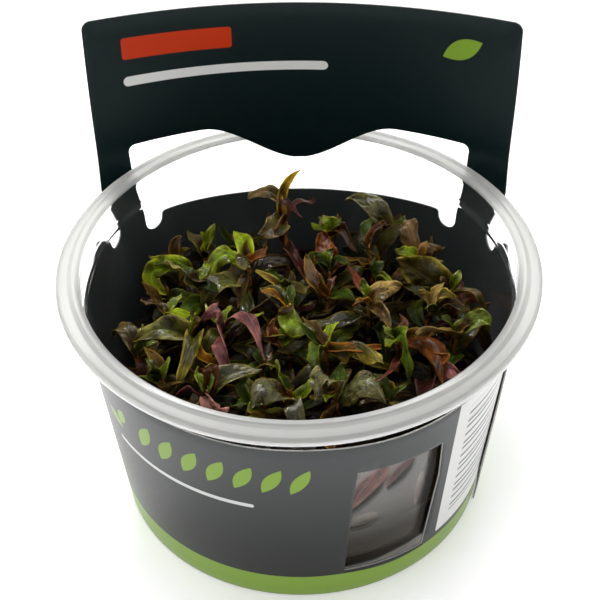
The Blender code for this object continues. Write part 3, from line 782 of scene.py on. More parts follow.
# the shoots that stand out: foot, crown and leading leaves; a leaf is its tip, width, arch and colour,
# and how it lies where that isn't left to chance: root is the height of its foot, via the point that
# the midrib passes, and face the way the upper side looks
leaders = (
    ((-3, 22), (-4.5, 27, 56), (
        ((-0.5, 29.5, 61), 3.2, 1, "ember", dict(root=47, via=(-4.6, 27.6, 55), face=(0.3, -0.9, 0.3),
         tipTint=1, curl=0, light=0.9, sway=0, broad=0.9)),
        ((-12.2, 28.6, 54.5), 4, 1, "ash", dict(via=(-8, 28, 55.5), face=(0, -0.6, 0.8), light=0.9,
         curl=0.1)),
        ((-9.5, 20.5, 51.5), 5, 0.5, "ash", dict(face=(0.2, -0.5, 0.85), broad=1.2, light=0.9)),
        ((-14, 17.7, 49), 5, 1, "rust", dict(face=(-0.3, -0.8, 0.5), light=0.9, broad=1.1)))),
    ((-26, 14), (-27.6, 17, 45.5), (
        ((-33.5, 17.2, 47), 5, 2, "lime", dict(root=40.5, via=(-25.8, 13, 47.5), face=(0, -0.7, 0.7),
         fold=0.5, curl=0.1, light=0.75, broad=0.75)),
        ((-29.5, 9.8, 42), 5, 3, "lime", dict(via=(-32.3, 13, 45), face=(0.2, -0.8, 0.6), curl=0.1,
         light=0.8)),
        ((-36.5, 19, 42.5), 4.5, 1, "leaf", dict(light=0.6)),
        ((-34.5, 10.5, 37), 4.5, 1, "leaf", dict(light=0.5)))),
    ((-11, 10), (-11.5, 13, 49), (
        ((-20.4, 7.6, 49), 5, 2, "lime", dict(via=(-16.5, 12, 51.5), face=(-0.2, -0.6, 0.7), curl=0.25,
         light=0.8)),
        ((-15, 20.5, 51), 4, 1, "lime", dict(face=(0.1, -0.8, 0.6), broad=1.3, light=0.8, curl=0)),
        ((-21.5, 2.5, 46), 6, 1.5, "sage", dict(via=(-17.5, 6, 50), face=(0, -0.2, 1), fold=0.2,
         curl=0.2)))),
    ((-15, -4), (-15.5, -8, 49.5), (
        ((-20, -10.5, 53), 4.5, 1, "pink", dict(via=(-15.5, -13, 57), face=(-0.3, -0.4, 0.9), light=0.45,
         curl=0.1, fold=-0.5)),
        ((-6.5, -19.5, 50), 5, 3.5, "pink", dict(via=(-12, -12, 56), face=(0.3, -0.2, 0.9), light=0.5,
         fold=-0.7, curl=0, broad=0.85, wave=0.15)),
        ((-13.5, -20.5, 47.5), 6, 2, "mauve", dict(via=(-16.5, -15, 49), face=(-0.1, -0.9, 0.4), light=0.7,
         curl=0, wave=0.15)))),
    ((-16, -24), (-17.8, -27, 49), (
        ((-7, -22.5, 51.5), 5, 1.5, "silver", dict(via=(-13.3, -24.5, 50.5), face=(0, -0.3, 1), fold=0.7,
         broad=1.1, light=0.8, curl=0.1)),
        ((-13, -33, 50), 5, 1.5, "pink", dict(via=(-15.5, -31, 48), face=(0, -0.9, 0.4), fold=0.8,
         light=0.7, curl=0)))),
    ((-2, -3), (-2.5, -1.5, 49), (
        ((5.5, -11.5, 51.5), 5.5, 1.5, "jade", dict(via=(0.3, -6, 49.5), face=(0, -0.3, 1), light=0.9,
         curl=0.1, fold=0.25)),
        ((-8.5, 3.5, 51), 4.5, 1, "olive", dict(face=(0.2, -0.9, 0.4), light=0.8)))),
    ((6, -11), (6, -13.8, 49.5), (
        ((17.5, -19.5, 50), 6, 1.5, "straw", dict(via=(10.8, -15.5, 50.3), face=(0, 0.1, 1), fold=-1.1,
         wave=0.2, light=0.7, broad=1.1, curl=0.1)),
        ((4, -21, 50.5), 5, 1.5, "leaf", dict(light=0.8, curl=0.2)))),
    ((15, 1), (14.6, -1.5, 50.5), (
        ((18.4, -11.5, 50.5), 5, 1.5, "ash", dict(via=(18.5, -6, 53), face=(-0.2, -0.9, 0.4), broad=0.8,
         light=0.9, curl=0.1)),
        ((21.5, 2.5, 50.5), 4.5, 1, "blush", dict(face=(0.2, -0.5, 0.8), light=0.7, broad=1.1)))),
    ((21, -10), (20.5, -12, 49.5), (
        ((29.5, -23.8, 49.5), 6.5, 2, "rust", dict(via=(25.5, -16, 52), fold=-0.6, face=(0, -0.1, 1),
         light=0.6, curl=0.1)),
        ((22.5, -23, 52), 4, 1.5, "leaf", dict(via=(21, -17, 54), face=(-0.3, -0.8, 0.4), light=0.9)),
        ((14, -27, 50), 3.5, 1, "wine", dict(via=(19, -22, 50), broad=0.75, light=0.8, curl=0)))),
    ((32, 7), (32.5, 7.5, 46), (
        ((20.5, 12.5, 50), 8.5, 1.5, "straw", dict(via=(27.5, 9.5, 47), face=(0, -0.85, 0.5), broad=1.15,
         light=0.4, fold=0.3, curl=0, tipTint=0.2, wave=0.2, waves=1.8)),
        ((40.5, 1.5, 47), 3.5, 1.5, "ash", dict(via=(38.5, 5, 48.5), broad=0.8, light=0.8)),
        ((34, 11, 51), 3.5, 0.5, "pink", dict(light=0.7)),
        ((40, 10, 48.5), 3.5, 1, "ash", dict(broad=0.5, light=0.9, curl=0)))),
    ((25, 18), (26, 18, 46), (
        ((22, 24.5, 50.5), 6, 1, "umber", dict(via=(24, 22, 51.5), face=(0, -0.2, 1), light=0.9, fold=-0.5,
         curl=0.1)),
        ((31.5, 24.5, 49.5), 5, 1, "umber", dict(face=(0.1, -0.3, 1), light=0.8, fold=-0.4)))),
    ((17, 26), (19, 28, 46.5), (
        ((9.8, 34, 50), 5, 1.5, "silver", dict(via=(15.5, 30, 51.5), face=(0, -0.3, 1), broad=1.2,
         light=0.8, curl=0.1)),
        ((24, 31, 47), 4, 1, "wine"))),
    ((9, -26), (8, -28, 49), (
        ((4, -31.5, 53), 6, 0.8, "silver", dict(via=(6.5, -28.5, 54.5), face=(-0.3, -0.2, 0.9), curl=0.3,
         light=0.9)),
        ((18, -31.5, 51), 6.5, 2, "silver", dict(via=(13, -30, 53.5), face=(0, -0.3, 1), fold=-0.4,
         broad=1.1, light=0.85, curl=0.1)))),
    ((-1, -26), (-0.5, -27.5, 47.5), (
        ((-8.5, -33, 51), 6.5, 1.5, "silver", dict(via=(-5, -30, 52), face=(0, -0.3, 1), light=0.85,
         curl=0.1)),
        ((1.5, -36.5, 50.5), 5, 1.5, "silver", dict(face=(0, -0.5, 0.9), light=0.7)))),
    ((-21, -8), (-22.5, -8.5, 47), (
        ((-34.2, -8.5, 46), 6, 2, "sage", dict(via=(-28, -9.5, 49), face=(0, -0.4, 0.9), wave=0.25,
         light=0.9, curl=0.1)),
        ((-24.5, -23.5, 47), 5, 2, "straw", dict(via=(-21.5, -15, 50.5), fold=0.9, face=(0, -0.6, 0.8),
         light=0.6, curl=0.1)))),
    ((-32, -9), (-34, -10, 42.5), (
        ((-40.5, -3.5, 44.5), 4.5, 1, "ash", dict(via=(-38, -7, 45.5), face=(0.3, -0.5, 0.8), light=0.8)),
        ((-33.5, -20, 44), 5, 1.5, "rust"))),
    ((32, -6), (33.5, -5.5, 45.5), (
        ((40.5, -6, 47), 5, 1.5, "jade", dict(via=(37, -4.5, 48), face=(0, -0.4, 0.9), light=0.8,
         curl=0.1)),
        ((26, -12.5, 49.5), 4, 1, "blush"))),
    ((27, -19), (28.5, -20, 46.5), (
        ((35, -19.5, 49.5), 4.5, 1, "pink", dict(face=(-0.2, -0.6, 0.7), light=0.7)),
        ((25.5, -29, 48), 5, 1.5, "wine"))),
    ((6, 13), (6.2, 14, 46), (
        ((4.4, 21.5, 50), 6, 0.5, "garnet", dict(via=(5.3, 17, 47), face=(0, -0.9, 0.4), light=0.6,
         fold=0.2, curl=0)),
        ((-1, 18, 49.5), 4.5, 1, "leaf", dict(light=0.6)),
        ((14, 14, 49.5), 4, 1, "olive", dict(light=0.6)))),
    ((6, 25), (6, 26.5, 46.5), (
        ((3.5, 29, 51.5), 4, 0.5, "lime", dict(light=0.8, face=(0, -0.8, 0.5))),
        ((8.5, 33.5, 47.5), 4.5, 1, "blush", dict(light=0.6)))),
)
crestLeaves = dict(colour="wine", light=0.5, curl=0.55, broad=0.75)  # the first shoot's other leaves

shootFoot = gelSizes["top"] + gelSizes["clearance"]


def stemPoint(shoot, z):
    share = (z - shootFoot) / (shoot["crown"][2] - shootFoot)
    place = Vector(shoot["foot"]).lerp(Vector(shoot["crown"][:2]), share * share)
    return Vector((place.x, place.y, z))


def stemRing(shoot, z):
    share = (z - shootFoot) / (shoot["crown"][2] - shootFoot)
    half = growth["stemHalf"] + (growth["stemTipHalf"] - growth["stemHalf"]) * share
    middle = stemPoint(shoot, z)
    turns = [shoot["yaw"] + math.radians(45 + 90 * j) for j in range(4)]
    reach = half * math.sqrt(2)
    return [middle + Vector((reach * math.cos(t), reach * math.sin(t), 0)) for t in turns]


def nodeHeights(shoot):
    return [shoot["crown"][2] - drop for drop in growth["nodeDrops"]]


def nodePoint(shoot, node):
    return stemPoint(shoot, nodeHeights(shoot)[node])


def leafSections(shoot, node, leaf, spare=0.0):
    tip, width, arch, roll = leaf
    start = nodePoint(shoot, node)
    run = tip - start
    side = Vector((-run.y, run.x, 0.0)).normalized()
    up = run.cross(side).normalized()
    if up.z < 0:
        up = -up
    side, up = side * math.cos(roll) + up * math.sin(roll), up * math.cos(roll) - side * math.sin(roll)
    middle = start + run * growth["belly"] + Vector((0, 0, arch))
    half, thick = width / 2 + spare, growth["leafThick"] / 2 + spare
    belly = [middle + side * a * half + up * b * thick for a, b in ((1, -1), (-1, -1), (-1, 1), (1, 1))]
    return start, belly, tip + run.normalized() * spare


def ringFaces(rings):
    # the sides of a stack of rings of four points each
    return [(i + k, i + (k + 1) % 4, i + (k + 1) % 4 + 4, i + k + 4)
            for i in range(0, 4 * rings - 4, 4) for k in range(4)]


def bladeTree(shoot, node, leaf, spare, offStem):
    start, belly, tip = leafSections(shoot, node, leaf, spare)
    middle = sum(belly, Vector()) / 4
    neck = start + (middle - start).normalized() * offStem
    rootHalf = growth["leafBase"] / 2 + spare
    root = [neck + (corner - middle).normalized() * rootHalf for corner in belly]
    if offStem > growth["stemHalf"] * 1.5:
        root = [neck + (corner - middle) * 0.3 for corner in belly]
    points = root + belly + [tip]
    faces = [(3, 2, 1, 0), *ringFaces(2), *((4 + k, 4 + (k + 1) % 4, 8) for k in range(4))]
    return BVHTree.FromPolygons(points, faces), points


def stemTree(shoot):
    heights = (shootFoot, *reversed(nodeHeights(shoot)), shoot["crown"][2])
    points = [p for z in heights for p in stemRing(shoot, z)]
    return BVHTree.FromPolygons(points, ringFaces(len(heights))), points


def keep(room, tree, points, owner, stem=False):
    # the room is a list of what stands in the cup already
    middle = sum(points, Vector()) / len(points)
    room.append((tree, middle, max((p - middle).length for p in points), owner, stem))


def isClear(room, tree, offStemTree, points, owner):
    middle = sum(points, Vector()) / len(points)
    reach = max((p - middle).length for p in points)
    for other, otherMiddle, otherReach, otherOwner, stem in room:
        own = otherOwner == owner
        if (own and stem) or (otherMiddle - middle).length > otherReach + reach:
            continue
        if (offStemTree if own else tree).overlap(other):
            return False
    return True


def insideCup(points):
    low = gelSizes["top"] + 0.9
    return all(math.hypot(p.x, p.y) <= innerRadius(p.z) - 0.7 and p.z >= low for p in points)


def canopyHeight(x, y, rng):
    edge = ease((math.hypot(x, y) - 22.0) / 16.0)
    backLeft = ease((y - 0.5 * x - 8.0) / 18.0) * edge
    return 47.0 - 3.0 * edge - 5.0 * backLeft + rng.uniform(-2.5, 2.0)


def planShoots(room):
    rng = random.Random(growth["seed"])
    shoots = [{"foot": foot, "crown": crown, "leaves": leaves, "yaw": rng.uniform(0, math.pi / 2)}
              for foot, crown, leaves in leaders]
    for _ in range(growth["attempts"]):
        if len(shoots) == len(leaders) + growth["fillers"]:
            break
        reach, turn = growth["bed"] * math.sqrt(rng.random()), rng.uniform(0, 2 * math.pi)
        x, y = reach * math.cos(turn), reach * math.sin(turn)
        near = min(min(math.dist((x, y), s["foot"]), math.dist((x, y), s["crown"][:2])) for s in shoots)
        if near < growth["spacing"]:
            continue
        height = canopyHeight(x, y, rng)
        crown = (x + rng.uniform(-2, 2), y + rng.uniform(-2, 2), height)
        shoots.append({"foot": (x, y), "crown": crown, "leaves": (), "yaw": rng.uniform(0, math.pi / 2)})
    for number, shoot in enumerate(shoots):
        shoot["number"] = number
        shoot["grown"] = {}
        keep(room, *stemTree(shoot), number, stem=True)
    return shoots


def faceDirection(shoot, face):
    turn = shoot["yaw"] + math.radians(90 + 90 * face)
    return Vector((math.cos(turn), math.sin(turn), 0.0))


def tryLeaf(room, shoot, node, face, leaf, colour=None, pose=()):
    spare, off = gelSizes["clearance"], growth["stemHalf"]
    tree, points = bladeTree(shoot, node, leaf, spare, off)
    offStemTree, _ = bladeTree(shoot, node, leaf, spare, off * 2)
    if not insideCup(points) or not isClear(room, tree, offStemTree, points, shoot["number"]):
        return False
    shoot["grown"][(node, face)] = (leaf, colour, pose)
    keep(room, *bladeTree(shoot, node, leaf, 0.0, off), shoot["number"])
    return True


def growLeaders(room, shoots):
    for shoot in shoots:
        for order, (tip, width, arch, colour, *pose) in enumerate(shoot["leaves"]):
            rng = random.Random(growth["seed"] * 1000 + shoot["number"] * 40 + order)
            node = order // 2
            start = nodePoint(shoot, node)
            run = Vector(tip) - start
            free = [j for j in range(4) if (node, j) not in shoot["grown"]]
            face = max(free, key=lambda j: faceDirection(shoot, j).dot(run))
            for attempt in range(growth["tries"]):
                shrink = 1.0 - growth["shrink"][0] * attempt
                jitter = Vector([rng.uniform(-0.25, 0.25) * attempt for _ in range(3)])
                leaf = (start + run * shrink + jitter, width * shrink, arch, rng.uniform(-0.5, 0.5))
                if tryLeaf(room, shoot, node, face, leaf, colour, *pose):
                    break


def growPairs(room, shoots):
    for node in range(len(growth["nodeDrops"])):
        for shoot in shoots:
            for face in (node % 2, node % 2 + 2):
                if nodeHeights(shoot)[node] >= gelSizes["top"] + 4.0 and (node, face) not in shoot["grown"]:
                    growOne(room, shoot, node, face)


def growOne(room, shoot, node, face):
    rng = random.Random(growth["seed"] * 7000 + shoot["number"] * 40 + node * 4 + face)
    length = growth["pairLengths"][node] * rng.uniform(0.85, 1.2)
    start = nodePoint(shoot, node)
    for attempt in range(growth["tries"]):
        spread = 0.25 + 0.05 * attempt
        turn = rng.uniform(-spread, spread)
        lift = growth["pairClimbs"][node] + rng.uniform(-0.35, 0.35)
        reach = length * (1.0 - growth["shrink"][1] * attempt)
        facing = faceDirection(shoot, face)
        out = Vector((facing.x * math.cos(turn) - facing.y * math.sin(turn),
                      facing.x * math.sin(turn) + facing.y * math.cos(turn), 0.0))
        run = (out * math.cos(lift) + Vector((0, 0, math.sin(lift)))) * reach
        width = reach * rng.uniform(0.34, 0.46)
        leaf = (start + run, width, rng.uniform(0.3, 0.16 * reach), rng.uniform(-0.6, 0.6))
        if tryLeaf(room, shoot, node, face, leaf, None, {} if shoot["number"] else crestLeaves):
            return


# Leaves and stems as seen

foliage = {
    "alongSteps": 28,
    "acrossSteps": 12,
    "thick": 0.2,
    "stemSides": 10,
    "veins": 6.5,  # side veins along half a leaf
    "slim": 0.95,
    "longer": 1.22,
    "sideLeaves": 2,
    "shade": (33.0, 53.0, 0.17),  # painted shade: leaves are darker below: from, to, share left
    "shadePowers": (1.0, 1.15, 1.6),  # how fast red, green and blue darken in that painted shade
    "stemLow": (0.07, 0.05, 0.018),
    "stemHigh": ((0.26, 0.08, 0.03), (0.18, 0.10, 0.03), (0.30, 0.10, 0.06)),
}

# what chance gives to a leaf, from and to
chances = {
    "fold": (0.1, 0.9),
    "cup": (-0.9, 0.2),
    "wave": (0.05, 0.22),
    "waves": (0.8, 2.2),
    "phase": (0, 6.28),
    "twist": (-1.6, 1.6),
}

# a leaf's colours on top, at its margin and underneath, and how wet it looks
leafColours = {
    "leaf": ((0.040, 0.085, 0.007), (0.10, 0.14, 0.02), (0.12, 0.14, 0.05), 0.15),
    "lime": ((0.14, 0.24, 0.006), (0.30, 0.38, 0.04), (0.25, 0.32, 0.06), 0.15),
    "olive": ((0.040, 0.044, 0.007), (0.16, 0.15, 0.04), (0.13, 0.10, 0.05), 0.1),
    "sage": ((0.070, 0.085, 0.030), (0.20, 0.20, 0.11), (0.15, 0.14, 0.09), 0.5),
    "silver": ((0.060, 0.068, 0.045), (0.16, 0.16, 0.11), (0.13, 0.12, 0.08), 1.0),
    "ash": ((0.085, 0.065, 0.040), (0.18, 0.15, 0.10), (0.16, 0.12, 0.09), 0.5),
    "bronze": ((0.050, 0.028, 0.007), (0.17, 0.11, 0.04), (0.13, 0.07, 0.04), 0.1),
    "rust": ((0.095, 0.026, 0.005), (0.22, 0.08, 0.02), (0.20, 0.09, 0.05), 0.2),
    "wine": ((0.075, 0.017, 0.030), (0.15, 0.05, 0.08), (0.14, 0.06, 0.12), 0.15),
    "mauve": ((0.20, 0.070, 0.17), (0.31, 0.15, 0.30), (0.28, 0.13, 0.27), 0.15),
    "pink": ((0.33, 0.14, 0.31), (0.43, 0.22, 0.42), (0.38, 0.18, 0.37), 0.15),
    "blush": ((0.26, 0.20, 0.10), (0.40, 0.31, 0.18), (0.30, 0.22, 0.14), 0.15),
    "amber": ((0.26, 0.12, 0.01), (0.50, 0.30, 0.03), (0.30, 0.15, 0.03), 0.1),
    "ember": ((0.10, 0.06, 0.02), (0.62, 0.50, 0.03), (0.16, 0.10, 0.06), 0.1),
    "jade": ((0.12, 0.20, 0.03), (0.16, 0.22, 0.05), (0.12, 0.16, 0.05), 0.6),
    "umber": ((0.13, 0.085, 0.055), (0.20, 0.14, 0.10), (0.22, 0.10, 0.04), 0.6),
    "garnet": ((0.22, 0.05, 0.015), (0.26, 0.08, 0.02), (0.24, 0.07, 0.02), 0.1),
    "straw": ((0.045, 0.050, 0.010), (0.45, 0.42, 0.12), (0.14, 0.10, 0.03), 0.2),
}

# leaves that lie on the wall behind the side window: shoot, then root, middle and tip by degrees
# round from the front and height, then width, colour and light
pressed = (
    (12, (25.5, 42.0), (19.5, 34.5), (14.3, 26.7), 7.2, "pink", 0.42),
    (17, (33.0, 41.0), (29.5, 37.5), (25.7, 31.9), 5.5, "mauve", 0.35),
    (12, (24.5, 23.6), (19.5, 22.9), (14.5, 21.9), 3.6, "umber", 0.3),
    (17, (37.6, 32.0), (38.0, 26.0), (37.2, 21.0), 2.6, "garnet", 0.25),
)
fillerColours = (("leaf", 7), ("olive", 10), ("bronze", 8), ("wine", 1.5), ("rust", 3), ("sage", 1.5),
                 ("ash", 1.5), ("mauve", 0.5), ("lime", 2.5), ("straw", 2))
# the lower pairs take only the darker colours: partly the older leaves' own colour, partly painted shade
# under the canopy
lowColours = (("leaf", 4), ("olive", 7), ("bronze", 6), ("wine", 1), ("rust", 2))
crownColours = (("leaf", 3), ("rust", 2), ("lime", 4), ("bronze", 3), ("blush", 0.5), ("amber", 1))


def pickColour(rng, table):
    names = [name for name, _ in table]
    return rng.choices(names, [weight for _, weight in table])[0]


def leafHalfWidth(t):
    return (t + 0.03) ** 0.55 * max(0.0, 1.0 - t) ** 0.8 / 0.446


def heading(turn, climb):
    return Vector((math.cos(turn) * math.cos(climb), math.sin(turn) * math.cos(climb), math.sin(climb)))


def shaded(colour, wet, z, share):
    # painted shade: a leaf's colour and wetness at a height, darker and less wet toward the bottom, where
    # share is what is left of them at the bottom
    low, high, _ = foliage["shade"]
    depth = share + (1.0 - share) * ease((z - low) / (high - low))
    return (*(c * depth ** power for c, power in zip(colour, foliage["shadePowers"])), wet * depth)


def facing(start, tip, side, face):
    # the roll about the midrib that turns a leaf's upper side to a direction
    slope = (tip - start).normalized()
    normal = slope.cross(side).normalized()
    across = normal.cross(slope).normalized()
    face = Vector(face)
    return math.atan2(-face.dot(across), face.dot(normal))


def bladeOnto(bm, start, middle, tip, width, roll, colour, rng, pose=()):
    # a grid laid along an arched midrib, then folded, waved, twisted and curled
    tint = bm.verts.layers.float_color["tint"]
    spot = bm.loops.layers.uv["blade"]
    lie = {key: rng.uniform(*span) for key, span in chances.items()}
    lie.update(curl=rng.choice((rng.uniform(-0.1, 0.15), rng.uniform(0.2, 0.65), rng.uniform(0.2, 0.65))),
               sway=rng.uniform(-0.2, 0.2), light=0.2 + 0.85 * rng.random() ** 2.1, tipTint=0.4,
               blend=rng.uniform(0.1, 0.7), broad=1.0, longer=foliage["longer"], colour=colour, shaded=1.0)
    if pose:
        lie.update(longer=1.0, light=rng.uniform(0.4, 0.8))
    lie.update(pose)
    if "face" in lie:
        lie["twist"] *= 0.4
    tip = start + (tip - start) * lie["longer"]
    fold, curl, light, width = lie["fold"], lie["curl"], lie["light"], width * lie["broad"]
    wave, waves, phase = lie["wave"] * width, lie["waves"] * 2 * math.pi, lie["phase"]
    middle = Vector(lie.get("via", middle))
    control = (middle - start * 0.3025 - tip * 0.2025) / 0.495
    run = tip - start
    length = run.length
    level = Vector((-run.y, run.x, 0.0))
    side = (level if level.length > 0.2 else Vector((1, 0, 0))).normalized()
    if "face" in lie:
        roll = facing(start, tip, side, lie["face"])
    base, margin, under, wet = leafColours[lie["colour"]]
    base, margin, under = (Vector(c) * light for c in (base, margin, under))
    other = Vector(leafColours[pickColour(rng, fillerColours)][0]) * light
    blend, shift = lie["blend"] * (0.4 if pose else 1.0), rng.uniform(0, 6.28)
    # how much painted shade this leaf takes
    share = 1.0 - lie["shaded"] * (1.0 - foliage["shade"][2])
    if wet < 0.3:
        wet = rng.choice((0.05, 0.2, 0.6))
    if not pose:
        wet *= 0.35
    verts = bmesh.ops.create_grid(bm, x_segments=foliage["alongSteps"], y_segments=foliage["acrossSteps"],
                                  size=1.0)["verts"]
    shares = {v: ((v.co.x + 1) / 2, v.co.y) for v in verts}
    for vert in verts:
        t, s = shares[vert]
        point = start * (1 - t) ** 2 + control * 2 * t * (1 - t) + tip * t * t
        slope = ((control - start) * (1 - t) + (tip - control) * t).normalized()
        normal = slope.cross(side).normalized()
        across = normal.cross(slope).normalized()
        turn = roll + lie["twist"] * (t - 0.4)
        flat = across * math.cos(turn) + normal * math.sin(turn)
        rise = normal * math.cos(turn) - across * math.sin(turn)
        half = width / 2 * leafHalfWidth(t)
        opened = 1.0 - 0.5 * t
        lift = abs(s) * half * fold * opened + s * s * half * lie["cup"] * ease(t * 1.5)
        lift += wave * s * s * math.sin(waves * t + phase + (1.4 if s > 0 else 0.0))
        lift += 0.25 * wave * s ** 4 * math.sin(waves * 2.5 * t + phase * 2)
        lift += 0.03 * width * (1 - abs(s)) * abs(s) * 4 * math.sin(
            foliage["veins"] * 2 * math.pi * (t - 0.22 * abs(s)))
        lift -= 0.05 * width * math.exp(-(s / 0.14) ** 2) * (1 - t)
        hang = Vector((0.0, 0.0, curl * length * ease((t - 0.3) / 0.7) ** 1.3))
        slide = lie["sway"] * length * math.sin(math.pi * t)
        narrow = 1.0 / math.sqrt(1.0 + (fold * opened) ** 2)
        place = point + flat * (s * half * narrow + slide) + rise * lift - hang
        place.xy *= min(1.0, (innerRadius(place.z) - 0.6) / max(place.xy.length, 1.0))
        place.z = max(place.z, gelSizes["top"] + 1.0)
        vert.co = place * mm
        rim = ease((abs(s) - 0.55) / 0.45)
        mixed = base.lerp(other, blend * (0.5 + 0.5 * math.sin(4.0 * t + shift + 0.8 * s)))
        shade = mixed.lerp(margin, min(1.0, 0.8 * rim + lie["tipTint"] * ease((t - 0.5) / 0.5)))
        # painted shade: darker toward the bottom
        vert[tint] = shaded(shade, wet, vert.co.z / mm, share)
    faces = {face for v in verts for face in v.link_faces}
    for face in faces:
        for loop in face.loops:
            loop[spot].uv = (shares[loop.vert][0], shares[loop.vert][1] * 0.5 + 0.5)
    bmesh.ops.remove_doubles(bm, verts=[v for v in verts if shares[v][0] > 0.999], dist=1e-7)
    faces = {face for v in verts if v.is_valid for face in v.link_faces}
    shell = bmesh.ops.extrude_face_region(bm, geom=list(faces), use_keep_orig=True)["geom"]
    backs = {part for part in shell if isinstance(part, bmesh.types.BMFace)}
    for face in backs:
        face.normal_update()
    moves = {}
    for vert in (part for part in shell if isinstance(part, bmesh.types.BMVert)):
        normal = sum((f.normal for f in vert.link_faces if f in backs), Vector()).normalized()
        moves[vert] = vert.co - normal * foliage["thick"] * mm
        # painted shade on the underside too
        vert[tint] = shaded(under, wet, vert.co.z / mm, share)
    for vert, place in moves.items():
        vert.co = place


def stemOnto(bm, shoot, rng):
    tint = bm.verts.layers.float_color["tint"]
    sides = foliage["stemSides"]
    made = bmesh.ops.create_grid(bm, x_segments=18, y_segments=sides, size=1.0)
    low, high = Vector(foliage["stemLow"]), Vector(rng.choice(foliage["stemHigh"]))
    top = shoot["crown"][2]
    for vert in made["verts"]:
        t, turn = (vert.co.x + 1) / 2, vert.co.y * math.pi
        z = shootFoot + (top - shootFoot) * t
        ring = growth["stemHalf"] + (growth["stemTipHalf"] - growth["stemHalf"]) * t
        ring *= 0.8 * (1 + 0.10 * math.cos(4 * (turn - shoot["yaw"])))
        for drop in growth["nodeDrops"]:
            ring *= 1 + 0.30 * math.exp(-((top - drop - z) / 0.7) ** 2)
        ring *= 1 - ease((t - 0.96) / 0.04)
        place = stemPoint(shoot, z)
        vert.co = (place + Vector((math.cos(turn), math.sin(turn), 0)) * ring) * mm
        vert[tint] = (*low.lerp(high, ease(t * 1.3)), 1.0)
    bmesh.ops.remove_doubles(bm, verts=made["verts"], dist=1e-6)
    loops = [e for e in bm.edges if e.is_boundary and e.verts[0].co.z < (shootFoot + 0.5) * mm]
    bmesh.ops.holes_fill(bm, edges=loops, sides=sides + 2)


def crownOnto(bm, shoot, rng):
    # the youngest leaves, still closed over the growing point
    top = stemPoint(shoot, shoot["crown"][2] - 0.6)
    count = rng.randint(2, 3) if shoot["number"] else 0
    for i in range(count):
        turn = shoot["yaw"] + i * math.pi / 2 + rng.uniform(-0.5, 0.5)
        out = heading(turn, rng.uniform(0.5, 1.3))
        length = rng.uniform(4.5, 8.0)
        tip = top + out * length
        if tip.xy.length > innerRadius(tip.z) - 0.9:
            continue
        middle = top + out * length * 0.45 + Vector((0, 0, 0.5))
        colour = pickColour(rng, crownColours)
        bladeOnto(bm, top, middle, tip, length * rng.uniform(0.34, 0.5), rng.uniform(-0.4, 0.4), colour, rng,
                  {"curl": rng.uniform(0.0, 0.35)})


def sideLeavesOnto(bm, shoot, rng):
    # small leaves of the side buds, between the pairs
    for _ in range(foliage["sideLeaves"]):
        start = stemPoint(shoot, shoot["crown"][2] - rng.uniform(1.5, 13.0))
        turn, climb = rng.uniform(0, 2 * math.pi), rng.uniform(-0.2, 0.9)
        out = heading(turn, climb)
        length = rng.uniform(8.0, 13.0)
        tip = start + out * length
        if tip.xy.length > innerRadius(tip.z) - 1.1 or tip.z < gelSizes["top"] + 1.5:
            continue
        middle = start + out * length * 0.45 + Vector((0, 0, rng.uniform(0.3, 1.5)))
        bladeOnto(bm, start, middle, tip, length * rng.uniform(0.32, 0.44), rng.uniform(-0.8, 0.8),
                  pickColour(rng, fillerColours), rng)


def pressedOnto(bm, shoot, rng):
    for number, root, middle, tip, width, colour, light in pressed:
        if number != shoot["number"]:
            continue
        points = []
        for turn, z in (root, middle, tip):
            reach, turn = innerRadius(z) - 0.5, math.radians(turn)
            points.append(Vector((reach * math.sin(turn), -reach * math.cos(turn), z)))
        bladeOnto(bm, *points, width, 0.0, colour, rng,
                  dict(fold=0.0, cup=-0.25, wave=0.0, twist=0.0, curl=0.0, sway=0.0, light=light,
                       shaded=0.0, face=(*points[1].xy, 0.0)))


def makeShoots():
    room = []
    shoots = planShoots(room)
    growLeaders(room, shoots)
    growPairs(room, shoots)
    print("shoots planned:", len(shoots), "with", sum(len(s["grown"]) for s in shoots), "leaves")
    leafLook = leafSkin()
    for shoot in shoots:
        rng = random.Random(900 + shoot["number"])
        bm = bmesh.new()
        bm.verts.layers.float_color.new("tint")
        bm.loops.layers.uv.new("blade")
        for key in sorted(shoot["grown"]):
            leaf, colour, pose = shoot["grown"][key]
            tip, width, _, roll = leaf
            start, belly, _ = leafSections(shoot, key[0], leaf)
            if colour is None:
                colour = pickColour(rng, fillerColours if key[0] < 2 else lowColours)
            if "root" in pose:
                start = stemPoint(shoot, pose["root"])
            middle = sum(belly, Vector()) / 4
            bladeOnto(bm, start, middle, tip, width * foliage["slim"], roll, colour, rng, pose)
        crownOnto(bm, shoot, rng)
        if shoot["number"]:
            sideLeavesOnto(bm, shoot, rng)
        pressedOnto(bm, shoot, rng)
        stemOnto(bm, shoot, rng)
        bmesh.ops.recalc_face_normals(bm, faces=bm.faces)
        number = shoot["number"] + 1
        piece = pieceFrom(bm, f"shoot{number:02d}")
        piece.data.materials.append(leafLook)
        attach(piece, "root")
        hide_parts(f"shoot_{number:02d}")
    print("shoots done")


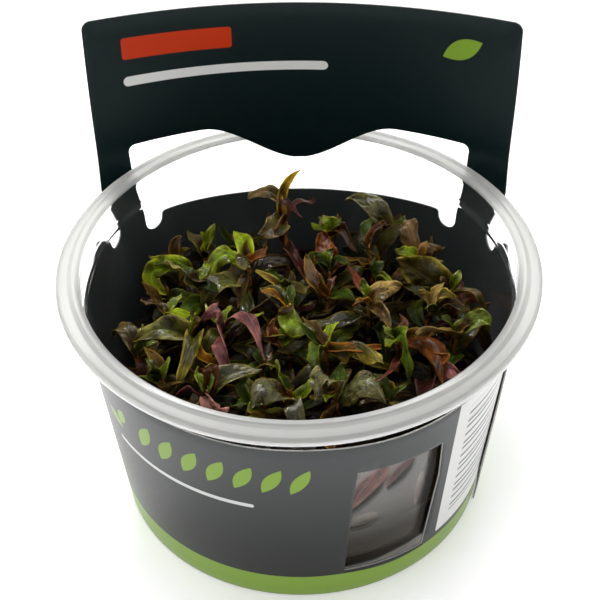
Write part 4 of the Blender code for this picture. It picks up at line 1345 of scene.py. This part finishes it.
def leafSkin():
    look = newLook("leaf skin", (0.1, 0.1, 0.03), 0.5)
    tint = addNode(look, "ShaderNodeAttribute", attribute_name="tint")
    colour, wet = tint.outputs["Color"], tint.outputs["Alpha"]
    blotch = fade(look, noiseValue(look, 330.0, 4.0), 0.3, 0.7)
    tone = dyed(look, colour, mixColours(look, blotch, (0.30, 0.22, 0.08), (1.4, 1.20, 0.52)))
    blade = sheetAxes(look, "blade")
    t, s = blade["X"], calc(look, "ABSOLUTE", scaled(look, blade["Y"], 2.0, -1.0))
    slanted = calc(look, "SUBTRACT", t, scaled(look, s, 0.22))
    lines = calc(look, "SINE", scaled(look, slanted, 2 * math.pi * foliage["veins"]))
    vein, rib = fade(look, lines, 0.80, 1.0), fade(look, s, 0.09, 0.03)
    veins = calc(look, "MAXIMUM", scaled(look, vein, 0.3), scaled(look, rib, 0.8))
    tone = mixColours(look, scaled(look, veins, 0.45), tone, dyed(look, colour, (2.0, 1.9, 1.6)))
    across = axesOf(look, objectPoint(look))["X"]
    along = addNode(look, "ShaderNodeCombineXYZ", {
        "X": scaled(look, t, 3.5), "Y": scaled(look, blade["Y"], 20.0), "Z": scaled(look, across, 60.0)})
    wrinkle = addNode(look, "ShaderNodeTexNoise", {
        "Vector": along.outputs["Vector"], "Scale": 1.0, "Detail": 3.0}).outputs["Fac"]
    # pale streaks along the wrinkles, stronger on wet leaves: partly the leaf's own fibres, partly painted
    # glint
    paleStreakAndGlint = product(look, fade(look, wrinkle, 0.50, 0.66), scaled(look, wet, 0.5, 0.25))
    feed(look, "Base Color", mixColours(look, paleStreakAndGlint, tone, dyed(look, tone, (2.6, 2.5, 2.3))))
    feed(look, "Roughness", calc(look, "ADD", scaled(look, wet, -0.26, 0.42), scaled(look, wrinkle, 0.2)))
    feed(look, "Coat Weight", scaled(look, wet, 0.95, 0.03))
    setShader(look, coatRoughness=0.08, inner=0.5, innerScale=0.0006, shine=0.05)
    shaderOf(look).inputs["Subsurface Radius"].default_value = (1.0, 0.9, 0.25)
    crumple = product(look, noiseValue(look, 1700.0, 2.0), wet)
    wrinkled = product(look, wrinkle, scaled(look, wet, 1.2, 1.0))
    height = calc(look, "ADD", scaled(look, veins, -0.4), wrinkled)
    bump(look, calc(look, "ADD", height, scaled(look, crumple, 2.0)), 0.5, 0.00045)
    return look


makeCamera()
makeStudio()
makeCup()
makeGel()
makeCard()
makeShoots()
